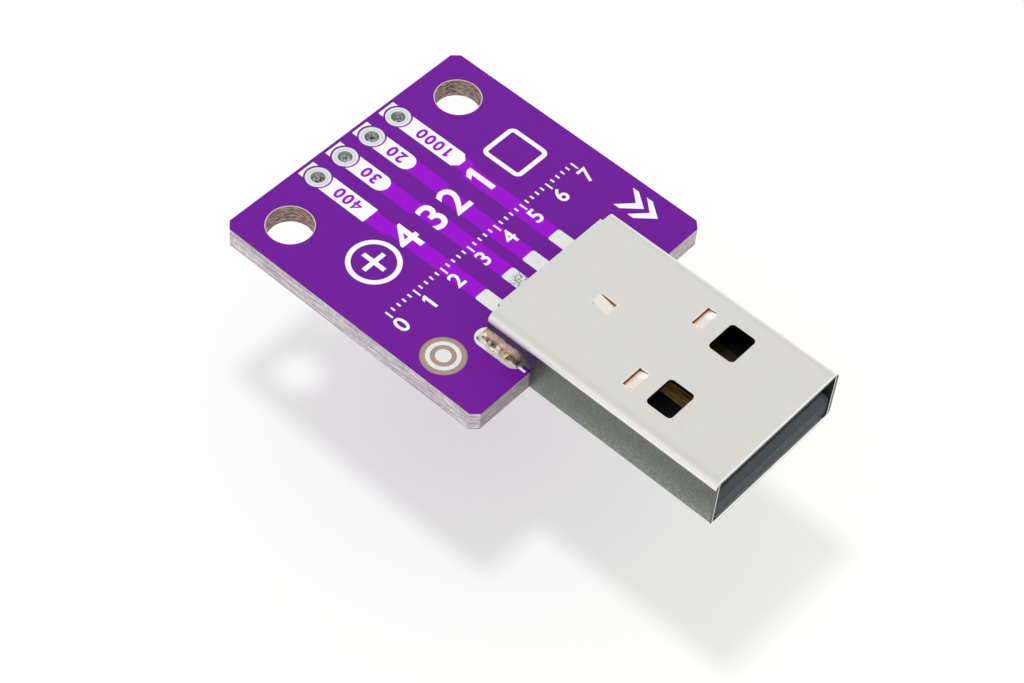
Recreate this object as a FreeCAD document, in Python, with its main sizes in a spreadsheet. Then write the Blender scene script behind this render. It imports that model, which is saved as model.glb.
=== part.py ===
import FreeCAD, Part
import math
import os
import Sketcher

# A small circuit board with a sunk-mount USB type A plug soldered over its front edge.
# Millimetres. The origin is midway between the two mounting holes, on the board's underside.
# +X points out of the plug's mouth, +Y to the power side, +Z up from the board.

doc = FreeCAD.newDocument("usb_a_breakout_board")
sheet = doc.addObject("Spreadsheet::Sheet", "Sizes")

SIZES = {
    # Board outline and layers
    "board_length": 22.0,
    "board_width": 22.0,
    "board_thickness": 1.6,
    "corner_chamfer": 0.5,
    "mask_thickness": 0.05,
    "copper_thickness": 0.035,
    "plating": 0.03,
    # Mounting holes
    "hole_edge": 3.0,
    "hole_side": 3.0,
    "hole_diameter": 3.2,
    "hole_mask_rim": 0.06,
    # Header row
    "header_edge": 1.4,
    "header_pitch": 2.54,
    "header_hole": 1.0,
    "header_pad": 1.75,
    # Traces and contact pads
    "trace_width": 1.15,
    "jog_ahead": 6.4,
    "pad_back": 6.45,
    "pad_length": 5.0,
    "pad_corner": 0.2,
    "contact_inner": 1.0,
    "contact_outer_inset": 2.2,
    # Plated slots for the shell's legs
    "slot_length": 3.0,
    "slot_width": 0.7,
    "slot_border": 0.5,
    # Fiducial mark, from the front edge, midway between the near slot's pad and the near edge
    "fiducial_back": 4.7,
    "fiducial_opening": 3.05,
    "ring_outer": 2.3,
    "ring_inner": 1.7,
    "fiducial_dot": 1.05,
    "fiducial_margin": 0.05,
    # Plug shell
    "shell_width": 12.0,
    "shell_height": 4.5,
    "sheet_thickness": 0.3,
    "fold_radius": 0.8,
    "top_fold_radius": 0.55,
    "plug_drop": 0.45,
    "plug_reach": 14.75,
    "plug_overlap": 3.85,
    "edge_gap": 0.1,
    "wall_gap": 0.15,
    "rear_step": 0.18,
    "rear_step_inset": 1.1,
    # Seam in the shell's underside, with its dovetail key
    "seam_gap": 0.06,
    "key_back": 10.4,
    "key_width": 1.5,
    "key_depth": 1.1,
    "key_flare": 0.3,
    # Shell legs
    "leg_length": 2.3,
    "leg_inset": 0.15,
    "leg_below": 0.2,
    "leg_corner": 0.3,
    # Windows and lances in the shell, from its mouth and its sides
    "window_length": 2.0,
    "window_width": 2.5,
    "window_corner": 0.32,
    "window_back": 6.16,
    "window_inset": 3.0,
    "stop_behind_window": 2.52,
    "stop_length": 0.7,
    "stop_width": 1.7,
    "stop_inset": 2.67,
    "stop_depth": 0.2,
    "catch_behind_window": 7.71,
    "catch_length": 1.27,
    "catch_width": 0.95,
    "catch_side": 0.2,
    "catch_depth": 0.25,
    "lance_slit": 0.05,
    # Insulator
    "insulator_gap": 0.05,
    "tongue_edge": 0.15,
    "tongue_thickness": 1.95,
    "tongue_inset": 0.1,
    "tongue_nose": 0.42,
    "bridge_length": 1.6,
    # Contacts and their tails
    "contact_width": 1.0,
    "contact_thickness": 0.2,
    "contact_inset": 1.7,
    "contact_nose": 0.35,
    "contact_gap": 0.02,
    "tail_back": 3.6,
    "solder_film": 0.03,
    "tail_solder_toe": 0.5,
    "tail_solder_side": 0.05,
    "tail_solder_height": 0.12,
    # Solder on the shell's legs
    "leg_solder_rise": 0.22,
    "leg_solder_spread": 0.25,
}

for row, (alias, value) in enumerate(SIZES.items(), start=1):
    sheet.set(f"A{row}", alias)
    sheet.set(f"B{row}", str(value))
    sheet.setAlias(f"B{row}", alias)
doc.recompute()

# Places along X
REAR = "(-Sizes.hole_edge)"
FRONT = "(Sizes.board_length - Sizes.hole_edge)"
HEADER = f"({REAR} + Sizes.header_edge)"
PAD_REAR = f"({FRONT} - Sizes.pad_back)"
PAD_FRONT = f"({PAD_REAR} + Sizes.pad_length)"
MOUTH = f"({FRONT} + Sizes.plug_reach)"
SHELL_REAR = f"({FRONT} - Sizes.plug_overlap)"
CORNER_REAR = f"({SHELL_REAR} + Sizes.rear_step)"
NOTCH = f"({FRONT} + Sizes.edge_gap)"
LEG_REAR = f"({SHELL_REAR} + Sizes.leg_inset)"
LEG_FRONT = f"({LEG_REAR} + Sizes.leg_length)"
SLOT = f"({LEG_REAR} + Sizes.leg_length / 2)"
WINDOW = f"({MOUTH} - Sizes.window_back)"
STOP_REAR = f"({WINDOW} - Sizes.stop_behind_window - Sizes.stop_length / 2)"
STOP_FRONT = f"({STOP_REAR} + Sizes.stop_length)"
CATCH_REAR = f"({WINDOW} - Sizes.catch_behind_window - Sizes.catch_length / 2)"
CATCH_FRONT = f"({CATCH_REAR} + Sizes.catch_length)"
TONGUE_FRONT = f"({MOUTH} - Sizes.tongue_inset)"
BLOCK_FRONT = f"({STOP_REAR} - Sizes.insulator_gap)"
BRIDGE_REAR = f"({FRONT} - Sizes.bridge_length)"
CONTACT_FRONT = f"({MOUTH} - Sizes.contact_inset)"
TAIL_REAR = f"({FRONT} - Sizes.tail_back)"
FIDUCIAL = f"({FRONT} - Sizes.fiducial_back)"

# Heights
LAMINATE_TOP = "(Sizes.board_thickness - Sizes.mask_thickness)"
COPPER_TOP = f"({LAMINATE_TOP} + Sizes.copper_thickness)"
COPPER_BOTTOM = "(Sizes.mask_thickness - Sizes.copper_thickness)"
SHELL_BOTTOM = "(-Sizes.plug_drop)"
SHELL_TOP = "(Sizes.shell_height - Sizes.plug_drop)"
INSIDE_BOTTOM = f"({SHELL_BOTTOM} + Sizes.sheet_thickness)"
INSIDE_TOP = f"({SHELL_TOP} - Sizes.sheet_thickness)"
WALL_FOOT = "(Sizes.board_thickness + Sizes.wall_gap)"
LEG_END = "(-Sizes.leg_below)"
TONGUE_TOP = f"({INSIDE_BOTTOM} + Sizes.tongue_thickness)"
BLOCK_TOP = f"({INSIDE_TOP} - Sizes.insulator_gap)"
TAIL_BOTTOM = f"({COPPER_TOP} + Sizes.solder_film)"
TAIL_TOP = f"({TAIL_BOTTOM} + Sizes.contact_thickness)"
BRIDGE_BOTTOM = f"({TAIL_TOP} + Sizes.wall_gap)"

# Inside radii of the shell's folds
INNER_FOLD = "(Sizes.fold_radius - Sizes.sheet_thickness)"
INNER_TOP_FOLD = "(Sizes.top_fold_radius - Sizes.sheet_thickness)"

# Half widths along Y
HALF_BOARD = "(Sizes.board_width / 2)"
HALF_SHELL = "(Sizes.shell_width / 2)"
HALF_INSIDE = f"({HALF_SHELL} - Sizes.sheet_thickness)"
HALF_INSULATOR = f"({HALF_INSIDE} - Sizes.insulator_gap)"
LEG_MIDDLE = f"({HALF_SHELL} - Sizes.sheet_thickness / 2)"
HOLE_SIDE = f"({HALF_BOARD} - Sizes.hole_side)"
SLOT_PAD_EDGE = f"({LEG_MIDDLE} + Sizes.slot_width / 2 + Sizes.slot_border)"
FIDUCIAL_SIDE = f"(-({SLOT_PAD_EDGE} + {HALF_BOARD}) / 2)"
FIDUCIAL_ROOM = f"(({HALF_BOARD} - {SLOT_PAD_EDGE}) / 2 - Sizes.fiducial_margin)"
CATCH_MIDDLE = "(-Sizes.catch_side)"
CONTACT_OUTER = f"({HALF_INSIDE} - Sizes.contact_outer_inset)"

# Each net: name, header place and contact place along Y
NETS = [
    ("power", "(1.5 * Sizes.header_pitch)", CONTACT_OUTER),
    ("data_minus", "(0.5 * Sizes.header_pitch)", "Sizes.contact_inner"),
    ("data_plus", "(-0.5 * Sizes.header_pitch)", "(-Sizes.contact_inner)"),
    ("ground", "(-1.5 * Sizes.header_pitch)", f"(-{CONTACT_OUTER})"),
]

# The two sides: name and sign along Y
SIDES = [("far", 1), ("near", -1)]

# Sketcher's numbers for the points of a line or an arc
START, END, MIDDLE = range(1, 4)
finished = []


def number(expression):
    """Value of an expression over the spreadsheet."""
    return float(sheet.evalExpression(expression))


def fix(sketch, kind, geometry, point, expression):
    """Hold one coordinate of a sketch point at an expression."""
    place = Sketcher.Constraint(kind, -1, 1, geometry, point, number(expression))
    index = sketch.addConstraint(place)
    sketch.setExpression(f"Constraints[{index}]", expression)


def fix_point(sketch, geometry, point, across, up):
    fix(sketch, "DistanceX", geometry, point, across)
    fix(sketch, "DistanceY", geometry, point, up)


def fix_radius(sketch, geometry, expression):
    index = sketch.addConstraint(Sketcher.Constraint("Radius", geometry, number(expression)))
    sketch.setExpression(f"Constraints[{index}]", expression)


def circle(sketch, across, up, radius):
    """Circle held by its centre and radius."""
    middle = FreeCAD.Vector(number(across), number(up), 0)
    ring = Part.Circle(middle, FreeCAD.Vector(0, 0, 1), number(radius))
    geometry = sketch.addGeometry(ring, False)
    fix_point(sketch, geometry, MIDDLE, across, up)
    fix_radius(sketch, geometry, radius)


def corner_arc(sketch, before, corner, after, radius):
    """Round one square corner; gives the arc's arriving and leaving ends."""
    x, y = number(corner[0]), number(corner[1])
    r = number(radius)
    turn_in = (x - number(before[0]), y - number(before[1]))
    turn_out = (number(after[0]) - x, number(after[1]) - y)
    step_x = turn_out[0] - turn_in[0]
    step_y = turn_out[1] - turn_in[1]
    sign_x = "+" if step_x > 0 else "-"
    sign_y = "+" if step_y > 0 else "-"
    middle = FreeCAD.Vector(x + (r if step_x > 0 else -r), y + (r if step_y > 0 else -r), 0)
    round_edge = Part.Circle(middle, FreeCAD.Vector(0, 0, 1), r)
    arrives_level = abs(turn_in[1]) < 1e-9
    arrive = FreeCAD.Vector(middle.x, y, 0) if arrives_level else FreeCAD.Vector(x, middle.y, 0)
    leave = FreeCAD.Vector(x, middle.y, 0) if arrives_level else FreeCAD.Vector(middle.x, y, 0)
    turns_left = turn_in[0] * turn_out[1] - turn_in[1] * turn_out[0] > 0
    first, last = (arrive, leave) if turns_left else (leave, arrive)
    arc = Part.ArcOfCircle(round_edge, round_edge.parameter(first), round_edge.parameter(last))
    geometry = sketch.addGeometry(arc, False)
    across, up = f"{corner[0]} {sign_x} {radius}", f"{corner[1]} {sign_y} {radius}"
    fix_point(sketch, geometry, MIDDLE, across, up)
    fix_radius(sketch, geometry, radius)
    arrive_end, leave_end = (START, END) if turns_left else (END, START)
    upright_end, level_end = (arrive_end, leave_end) if arrives_level else (leave_end, arrive_end)
    sketch.addConstraint(Sketcher.Constraint("Vertical", geometry, upright_end, geometry, MIDDLE))
    sketch.addConstraint(Sketcher.Constraint("Horizontal", geometry, level_end, geometry, MIDDLE))
    return (geometry, arrive_end, arrive), (geometry, leave_end, leave)


def outline(sketch, corners):
    """Closed outline; a corner is (across, up), or (across, up, radius) where a square one is round."""
    count = len(corners)
    arrivals = []
    leavings = []
    for index, corner in enumerate(corners):
        if len(corner) == 3:
            before, after = corners[index - 1], corners[(index + 1) % count]
            arrive, leave = corner_arc(sketch, before, corner, after, corner[2])
        else:
            spot = FreeCAD.Vector(number(corner[0]), number(corner[1]), 0)
            arrive = leave = (None, None, spot)
        arrivals.append(arrive)
        leavings.append(leave)
    lines = []
    for index in range(count):
        ahead = (index + 1) % count
        line = Part.LineSegment(leavings[index][2], arrivals[ahead][2])
        lines.append(sketch.addGeometry(line, False))
    for index in range(count):
        ahead = (index + 1) % count
        if leavings[index][0] is None:
            fix_point(sketch, lines[index], START, corners[index][0], corners[index][1])
        else:
            join(sketch, lines[index], START, leavings[index])
        if arrivals[ahead][0] is None:
            join(sketch, lines[index], END, (lines[ahead], START))
        else:
            join(sketch, lines[index], END, arrivals[ahead])


def join(sketch, geometry, point, end):
    sketch.addConstraint(Sketcher.Constraint("Coincident", geometry, point, end[0], end[1]))


def slot(sketch, across, up, length, width):
    """Round-ended slot along the sketch's first axis."""
    half_run = f"({length} - {width}) / 2"
    radius = f"({width} / 2)"
    middle_x, middle_y = number(across), number(up)
    run, r = number(half_run), number(radius)
    upright = FreeCAD.Vector(0, 0, 1)
    arcs = []
    for sign, first in ((-1, math.pi / 2), (1, -math.pi / 2)):
        middle = FreeCAD.Vector(middle_x + sign * run, middle_y, 0)
        arc = Part.ArcOfCircle(Part.Circle(middle, upright, r), first, first + math.pi)
        geometry = sketch.addGeometry(arc, False)
        arcs.append(geometry)
        side = "+" if sign > 0 else "-"
        fix_point(sketch, geometry, MIDDLE, f"{across} {side} {half_run}", up)
        fix_radius(sketch, geometry, radius)
        for end in (START, END):
            sketch.addConstraint(Sketcher.Constraint("Vertical", geometry, end, geometry, MIDDLE))
    rear, ahead = arcs
    for sign, start, end in ((-1, (rear, END), (ahead, START)), (1, (ahead, END), (rear, START))):
        first = FreeCAD.Vector(middle_x + sign * run, middle_y + sign * r, 0)
        last = FreeCAD.Vector(middle_x - sign * run, middle_y + sign * r, 0)
        geometry = sketch.addGeometry(Part.LineSegment(first, last), False)
        join(sketch, geometry, START, start)
        join(sketch, geometry, END, end)


def new_body(label):
    body = doc.addObject("PartDesign::Body", label)
    body.Label = label
    finished.append(body)
    return body


def new_sketch(body, name, role, level):
    """Sketch on one of the body's own planes, moved along that plane's normal to a level."""
    sketch = body.newObject("Sketcher::SketchObject", name)
    plane = next(item for item in body.Origin.OriginFeatures if item.Role == role)
    sketch.AttachmentSupport = [(plane, "")]
    sketch.MapMode = "FlatFace"
    sketch.setExpression("AttachmentOffset.Base.z", level)
    return sketch


def flat(body, name, level):
    """Sketch looking down on the board, at a height."""
    return new_sketch(body, name, "XY_Plane", level)


def cross(body, name, level):
    """Sketch across the plug, at a place along X."""
    return new_sketch(body, name, "YZ_Plane", level)


def side(body, name, level="0"):
    """Sketch seen from the near side, at a distance along -Y."""
    return new_sketch(body, name, "XZ_Plane", level)


def pad(body, sketch, length, both_ways=False):
    feature = body.newObject("PartDesign::Pad", sketch.Name + "_pad")
    feature.Profile = sketch
    feature.setExpression("Length", length)
    if both_ways:
        feature.SideType = "Symmetric"
    doc.recompute()
    return feature


def pocket(body, sketch, depth, both_ways=False, reverse=False):
    feature = body.newObject("PartDesign::Pocket", sketch.Name + "_pocket")
    feature.Profile = sketch
    feature.setExpression("Length", depth)
    feature.Reversed = reverse
    if both_ways:
        feature.SideType = "Symmetric"
    before = feature.BaseFeature.Shape.Volume
    doc.recompute()
    if feature.Shape.Volume > before - 1e-9:
        raise RuntimeError(f"{feature.Name} cuts nothing")
    return feature


def rectangle(sketch, low, left_up, high, right_up, radius=None):
    """Upright rectangle between two corners, with equal corner radii where one is given."""
    corners = [(low, left_up), (high, left_up), (high, right_up), (low, right_up)]
    if radius:
        corners = [(across, up, radius) for across, up in corners]
    outline(sketch, corners)


def folded_outline(sketch, half, bottom, top, low_radius, top_radius):
    """Outline across the plug, with its own radius for the lower and for the upper folds."""
    outline(
        sketch,
        [
            (f"-{half}", bottom, low_radius),
            (half, bottom, low_radius),
            (half, top, top_radius),
            (f"-{half}", top, top_radius),
        ],
    )


def board_outline(sketch):
    c = "Sizes.corner_chamfer"
    w = HALF_BOARD
    outline(
        sketch,
        [
            (f"{REAR} + {c}", f"-{w}"),
            (f"{FRONT} - {c}", f"-{w}"),
            (FRONT, f"-{w} + {c}"),
            (FRONT, f"{w} - {c}"),
            (f"{FRONT} - {c}", w),
            (f"{REAR} + {c}", w),
            (REAR, f"{w} - {c}"),
            (REAR, f"-{w} + {c}"),
        ],
    )


def mounting_holes(sketch, widening="0"):
    for _, sign in SIDES:
        circle(sketch, "0", f"{sign} * {HOLE_SIDE}", f"Sizes.hole_diameter / 2 + {widening}")


def trace_outline(sketch, header_y, contact_y):
    """Trace from the header hole to the contact pad's front end, with its 45 degree jog."""
    half = "Sizes.trace_width / 2"
    shift = number(contact_y) - number(header_y)
    rise = f"({contact_y} - {header_y})"
    run = rise if shift > 0 else f"(-{rise})"
    mitre = f"{half} * tan(22.5)" if shift > 0 else f"-{half} * tan(22.5)"
    jog_start = f"({HEADER} + Sizes.jog_ahead)"
    jog_end = f"({jog_start} + {run})"
    outline(
        sketch,
        [
            (HEADER, f"{header_y} - {half}"),
            (f"{jog_start} + {mitre}", f"{header_y} - {half}"),
            (f"{jog_end} + {mitre}", f"{contact_y} - {half}"),
            (PAD_FRONT, f"{contact_y} - {half}"),
            (PAD_FRONT, f"{contact_y} + {half}"),
            (f"{jog_end} - {mitre}", f"{contact_y} + {half}"),
            (f"{jog_start} - {mitre}", f"{header_y} + {half}"),
            (HEADER, f"{header_y} + {half}"),
        ],
    )


def leg_slots(sketch, border, sign=None):
    """Slots under the shell's legs, widened all round by a border."""
    for _, direction in SIDES:
        if sign in (None, direction):
            length = f"(Sizes.slot_length + 2 * ({border}))"
            width = f"(Sizes.slot_width + 2 * ({border}))"
            slot(sketch, SLOT, f"{direction} * {LEG_MIDDLE}", length, width)


def make_laminate():
    body = new_body("laminate")
    blank = flat(body, "laminate_blank", "Sizes.mask_thickness")
    board_outline(blank)
    pad(body, blank, "Sizes.board_thickness - 2 * Sizes.mask_thickness")
    holes = flat(body, "laminate_holes", LAMINATE_TOP)
    mounting_holes(holes)
    for _, header_y, _ in NETS:
        circle(holes, HEADER, header_y, "Sizes.header_hole / 2 + Sizes.plating")
    leg_slots(holes, "Sizes.plating")
    pocket(body, holes, "Sizes.board_thickness")


def make_mask(label, level, top):
    """Solder mask: a skin with openings at the pads, hollow where it covers the traces."""
    body = new_body(label)
    blank = flat(body, label + "_blank", level)
    board_outline(blank)
    pad(body, blank, "Sizes.mask_thickness")
    openings = flat(body, label + "_openings", f"{level} + Sizes.mask_thickness")
    mounting_holes(openings, "Sizes.hole_mask_rim")
    for _, header_y, _ in NETS:
        circle(openings, HEADER, header_y, "Sizes.header_pad / 2")
    if top:
        half = "Sizes.trace_width / 2"
        for _, _, contact_y in NETS:
            low, high = f"{contact_y} - {half}", f"{contact_y} + {half}"
            corner = "Sizes.pad_corner"
            outline(
                openings,
                [(PAD_REAR, low, corner), (PAD_FRONT, low), (PAD_FRONT, high), (PAD_REAR, high, corner)],
            )
        circle(openings, FIDUCIAL, FIDUCIAL_SIDE, f"min(Sizes.fiducial_opening / 2; {FIDUCIAL_ROOM})")
    pocket(body, openings, "Sizes.mask_thickness")
    slots = flat(body, label + "_slots", f"{level} + Sizes.mask_thickness")
    leg_slots(slots, "Sizes.slot_border")
    pocket(body, slots, "Sizes.mask_thickness")
    if top:
        traces = flat(body, label + "_traces", level)
        for _, header_y, contact_y in NETS:
            trace_outline(traces, header_y, contact_y)
        pocket(body, traces, "Sizes.copper_thickness", reverse=True)


def make_net(name, header_y, contact_y):
    """Copper of one net: trace, contact pad, header pads on both faces and the plated barrel."""
    body = new_body("copper_" + name)
    trace = flat(body, name + "_trace", LAMINATE_TOP)
    trace_outline(trace, header_y, contact_y)
    pad(body, trace, "Sizes.copper_thickness")
    barrel = flat(body, name + "_barrel", COPPER_BOTTOM)
    circle(barrel, HEADER, header_y, "Sizes.header_hole / 2 + Sizes.plating")
    pad(body, barrel, f"{COPPER_TOP} - {COPPER_BOTTOM}")
    for place, level in (("top", LAMINATE_TOP), ("bottom", COPPER_BOTTOM)):
        land = flat(body, f"{name}_land_{place}", level)
        circle(land, HEADER, header_y, "Sizes.header_pad / 2")
        pad(body, land, "Sizes.copper_thickness")
    bore = flat(body, name + "_bore", COPPER_TOP)
    circle(bore, HEADER, header_y, "Sizes.header_hole / 2")
    pocket(body, bore, "Sizes.board_thickness")


def make_slot_lining(name, sign):
    """Plated slot with its pads on both faces."""
    body = new_body("slot_lining_" + name)
    wall = flat(body, name + "_lining", COPPER_BOTTOM)
    leg_slots(wall, "Sizes.plating", sign)
    pad(body, wall, f"{COPPER_TOP} - {COPPER_BOTTOM}")
    for place, level in (("top", LAMINATE_TOP), ("bottom", COPPER_BOTTOM)):
        rim = flat(body, f"{name}_rim_{place}", level)
        leg_slots(rim, "Sizes.slot_border", sign)
        pad(body, rim, "Sizes.copper_thickness")
    opening = flat(body, name + "_slot", COPPER_TOP)
    leg_slots(opening, "0", sign)
    pocket(body, opening, "Sizes.board_thickness")


def make_fiducial():
    ring = new_body("fiducial_ring")
    band = flat(ring, "ring_band", LAMINATE_TOP)
    circle(band, FIDUCIAL, FIDUCIAL_SIDE, "Sizes.ring_outer / 2")
    circle(band, FIDUCIAL, FIDUCIAL_SIDE, "Sizes.ring_inner / 2")
    pad(ring, band, "Sizes.copper_thickness")
    dot = new_body("fiducial_dot")
    disc = flat(dot, "dot_disc", LAMINATE_TOP)
    circle(disc, FIDUCIAL, FIDUCIAL_SIDE, "Sizes.fiducial_dot / 2")
    pad(dot, disc, "Sizes.copper_thickness")


def shell_lance(body, name, middle_y, width, hinge, tip, depth):
    """Tongue cut free on three sides and pressed into the plug from its hinge to its tip."""
    opens_ahead = number(hinge) < number(tip)
    low, high = (hinge, tip) if opens_ahead else (tip, hinge)
    free_end = f"({tip} {'-' if opens_ahead else '+'} Sizes.lance_slit)"
    half = f"{width} / 2"
    cut = flat(body, name + "_cut", SHELL_TOP)
    rectangle(cut, low, f"{middle_y} - {half}", high, f"{middle_y} + {half}")
    pocket(body, cut, "Sizes.sheet_thickness")
    tongue = side(body, name + "_tongue", f"-({middle_y}) - {half} + Sizes.lance_slit")
    outline(
        tongue,
        [
            (hinge, INSIDE_TOP),
            (free_end, f"{INSIDE_TOP} - {depth}"),
            (free_end, f"{SHELL_TOP} - {depth}"),
            (hinge, SHELL_TOP),
        ],
    )
    pad(body, tongue, f"{width} - 2 * Sizes.lance_slit")


def seam_outline(sketch):
    """Straight slit from the mouth to the notch that goes round one dovetail key on its way."""
    gap = "Sizes.seam_gap / 2"
    depth = "Sizes.key_depth"
    flare = "Sizes.key_flare"
    middle = f"({MOUTH} - Sizes.key_back)"
    slant = f"{gap} * sqrt({flare}^2 + {depth}^2) / {depth}"

    def flank(sign, level, outward):
        """Place along X of a flank of the key, at a level across the seam."""
        spread = f"{flare} * ({level}) / {depth} + {outward} * {slant}"
        return f"{middle} {sign} (Sizes.key_width / 2 + {spread})"

    far = f"{depth} + {gap}"
    near = f"{depth} - {gap}"
    outline(
        sketch,
        [
            (NOTCH, f"-{gap}"),
            (flank("-", f"-{gap}", -1), f"-{gap}"),
            (flank("-", near, -1), near),
            (flank("+", near, -1), near),
            (flank("+", f"-{gap}", -1), f"-{gap}"),
            (MOUTH, f"-{gap}"),
            (MOUTH, gap),
            (flank("+", gap, 1), gap),
            (flank("+", far, 1), far),
            (flank("-", far, 1), far),
            (flank("-", gap, 1), gap),
            (NOTCH, gap),
        ],
    )


def leg_root():
    """The slanted corner between the front of a leg and the wall's foot, from the wall down."""
    return [
        (f"{LEG_FRONT} + Sizes.leg_corner", WALL_FOOT),
        (LEG_FRONT, f"{WALL_FOOT} - Sizes.leg_corner"),
    ]


def make_shell():
    """Folded sheet shell: a closed tube ahead of the board, an open channel with two legs over it."""
    body = new_body("plug_shell")
    sheet_in = "Sizes.sheet_thickness"
    top_fold = "Sizes.top_fold_radius"

    tube = cross(body, "shell_tube", NOTCH)
    folded_outline(tube, HALF_SHELL, SHELL_BOTTOM, SHELL_TOP, "Sizes.fold_radius", top_fold)
    folded_outline(tube, HALF_INSIDE, INSIDE_BOTTOM, INSIDE_TOP, INNER_FOLD, INNER_TOP_FOLD)
    pad(body, tube, f"{MOUTH} - {NOTCH}")

    channel = cross(body, "shell_channel", CORNER_REAR)
    outline(
        channel,
        [
            (f"-{HALF_SHELL}", LEG_END),
            (f"-{HALF_INSIDE}", LEG_END),
            (f"-{HALF_INSIDE}", INSIDE_TOP, INNER_TOP_FOLD),
            (HALF_INSIDE, INSIDE_TOP, INNER_TOP_FOLD),
            (HALF_INSIDE, LEG_END),
            (HALF_SHELL, LEG_END),
            (HALF_SHELL, SHELL_TOP, top_fold),
            (f"-{HALF_SHELL}", SHELL_TOP, top_fold),
        ],
    )
    pad(body, channel, f"{NOTCH} - {CORNER_REAR}")

    rear_lip = cross(body, "shell_rear_lip", SHELL_REAR)
    half_lip = f"({HALF_SHELL} - Sizes.rear_step_inset)"
    rectangle(rear_lip, f"-{half_lip}", INSIDE_TOP, half_lip, SHELL_TOP)
    pad(body, rear_lip, "Sizes.rear_step")

    legs = side(body, "shell_leg_cuts")
    low = f"({LEG_END} - {sheet_in})"
    outline(legs, [(SHELL_REAR, low), (LEG_REAR, low), (LEG_REAR, WALL_FOOT), (SHELL_REAR, WALL_FOOT)])
    outline(legs, [(LEG_FRONT, low), (NOTCH, low), (NOTCH, WALL_FOOT), *leg_root()])
    pocket(body, legs, "Sizes.shell_width", both_ways=True)

    windows = flat(body, "shell_windows", SHELL_TOP)
    for _, sign in SIDES:
        half_x, half_y = "Sizes.window_length / 2", "Sizes.window_width / 2"
        middle = f"{sign} * ({HALF_SHELL} - Sizes.window_inset)"
        rear, front = f"{WINDOW} - {half_x}", f"{WINDOW} + {half_x}"
        low, high = f"{middle} - {half_y}", f"{middle} + {half_y}"
        rectangle(windows, rear, low, front, high, "Sizes.window_corner")
    pocket(body, windows, "Sizes.shell_height")

    for name, sign in SIDES:
        middle = f"{sign} * ({HALF_SHELL} - Sizes.stop_inset)"
        shell_lance(
            body, "stop_" + name, middle, "Sizes.stop_width", STOP_FRONT, STOP_REAR, "Sizes.stop_depth"
        )
    shell_lance(
        body, "catch", CATCH_MIDDLE, "Sizes.catch_width", CATCH_REAR, CATCH_FRONT, "Sizes.catch_depth"
    )

    seam = flat(body, "shell_seam", INSIDE_BOTTOM)
    seam_outline(seam)
    pocket(body, seam, sheet_in)


def make_insulator():
    """Moulded block behind the stops, tongue under the contacts and a bridge over their tails."""
    body = new_body("plug_insulator")
    nose = "Sizes.tongue_nose"
    profile = side(body, "insulator_profile")
    outline(
        profile,
        [
            (NOTCH, INSIDE_BOTTOM),
            (f"{TONGUE_FRONT} - {nose} / 2", INSIDE_BOTTOM),
            (TONGUE_FRONT, f"{INSIDE_BOTTOM} + {nose} / 2"),
            (TONGUE_FRONT, f"{TONGUE_TOP} - {nose}"),
            (f"{TONGUE_FRONT} - {nose}", TONGUE_TOP),
            (BLOCK_FRONT, TONGUE_TOP),
            (BLOCK_FRONT, BLOCK_TOP),
            (BRIDGE_REAR, BLOCK_TOP),
            (BRIDGE_REAR, BRIDGE_BOTTOM),
            (NOTCH, BRIDGE_BOTTOM),
        ],
    )
    pad(body, profile, f"2 * {HALF_INSULATOR}", both_ways=True)

    edges = cross(body, "insulator_edges", BRIDGE_REAR)
    rectangle(edges, f"-{HALF_SHELL}", SHELL_BOTTOM, HALF_SHELL, SHELL_TOP)
    folded_outline(edges, HALF_INSULATOR, INSIDE_BOTTOM, BLOCK_TOP, INNER_FOLD, INNER_TOP_FOLD)
    pocket(body, edges, f"{MOUTH} - {BRIDGE_REAR}", reverse=True)

    tongue_edges = cross(body, "insulator_tongue_edges", BLOCK_FRONT)
    for _, sign in SIDES:
        wall = f"{sign} * {HALF_INSULATOR}"
        inward = f"{wall} - {sign} * Sizes.tongue_edge"
        lower = f"{TONGUE_TOP} - Sizes.tongue_edge"
        outline(tongue_edges, [(wall, lower), (wall, TONGUE_TOP), (inward, TONGUE_TOP)])
    pocket(body, tongue_edges, f"{MOUTH} - {BLOCK_FRONT}", reverse=True)

    clear = "Sizes.contact_gap"
    width = f"(Sizes.contact_width + 2 * {clear})"
    drop = "Sizes.contact_nose"
    for name, _, contact_y in NETS:
        channel = side(body, "channel_" + name, f"-({contact_y}) + {width} / 2")
        outline(
            channel,
            [
                (BRIDGE_REAR, TAIL_BOTTOM),
                (f"{CONTACT_FRONT} - {drop}", TAIL_BOTTOM),
                (f"{CONTACT_FRONT} + {clear}", f"{TAIL_BOTTOM} - {drop} - {clear}"),
                (f"{CONTACT_FRONT} + {clear}", f"{TAIL_TOP} + {clear}"),
                (BRIDGE_REAR, f"{TAIL_TOP} + {clear}"),
            ],
        )
        pocket(body, channel, width)

    recess = flat(body, "insulator_catch_recess", BLOCK_TOP)
    half = "(Sizes.catch_width / 2 + Sizes.insulator_gap)"
    low, high = f"{CATCH_MIDDLE} - {half}", f"{CATCH_MIDDLE} + {half}"
    rectangle(recess, BRIDGE_REAR, low, f"{CATCH_FRONT} + Sizes.insulator_gap", high)
    pocket(body, recess, "Sizes.catch_depth + Sizes.insulator_gap")


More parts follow.
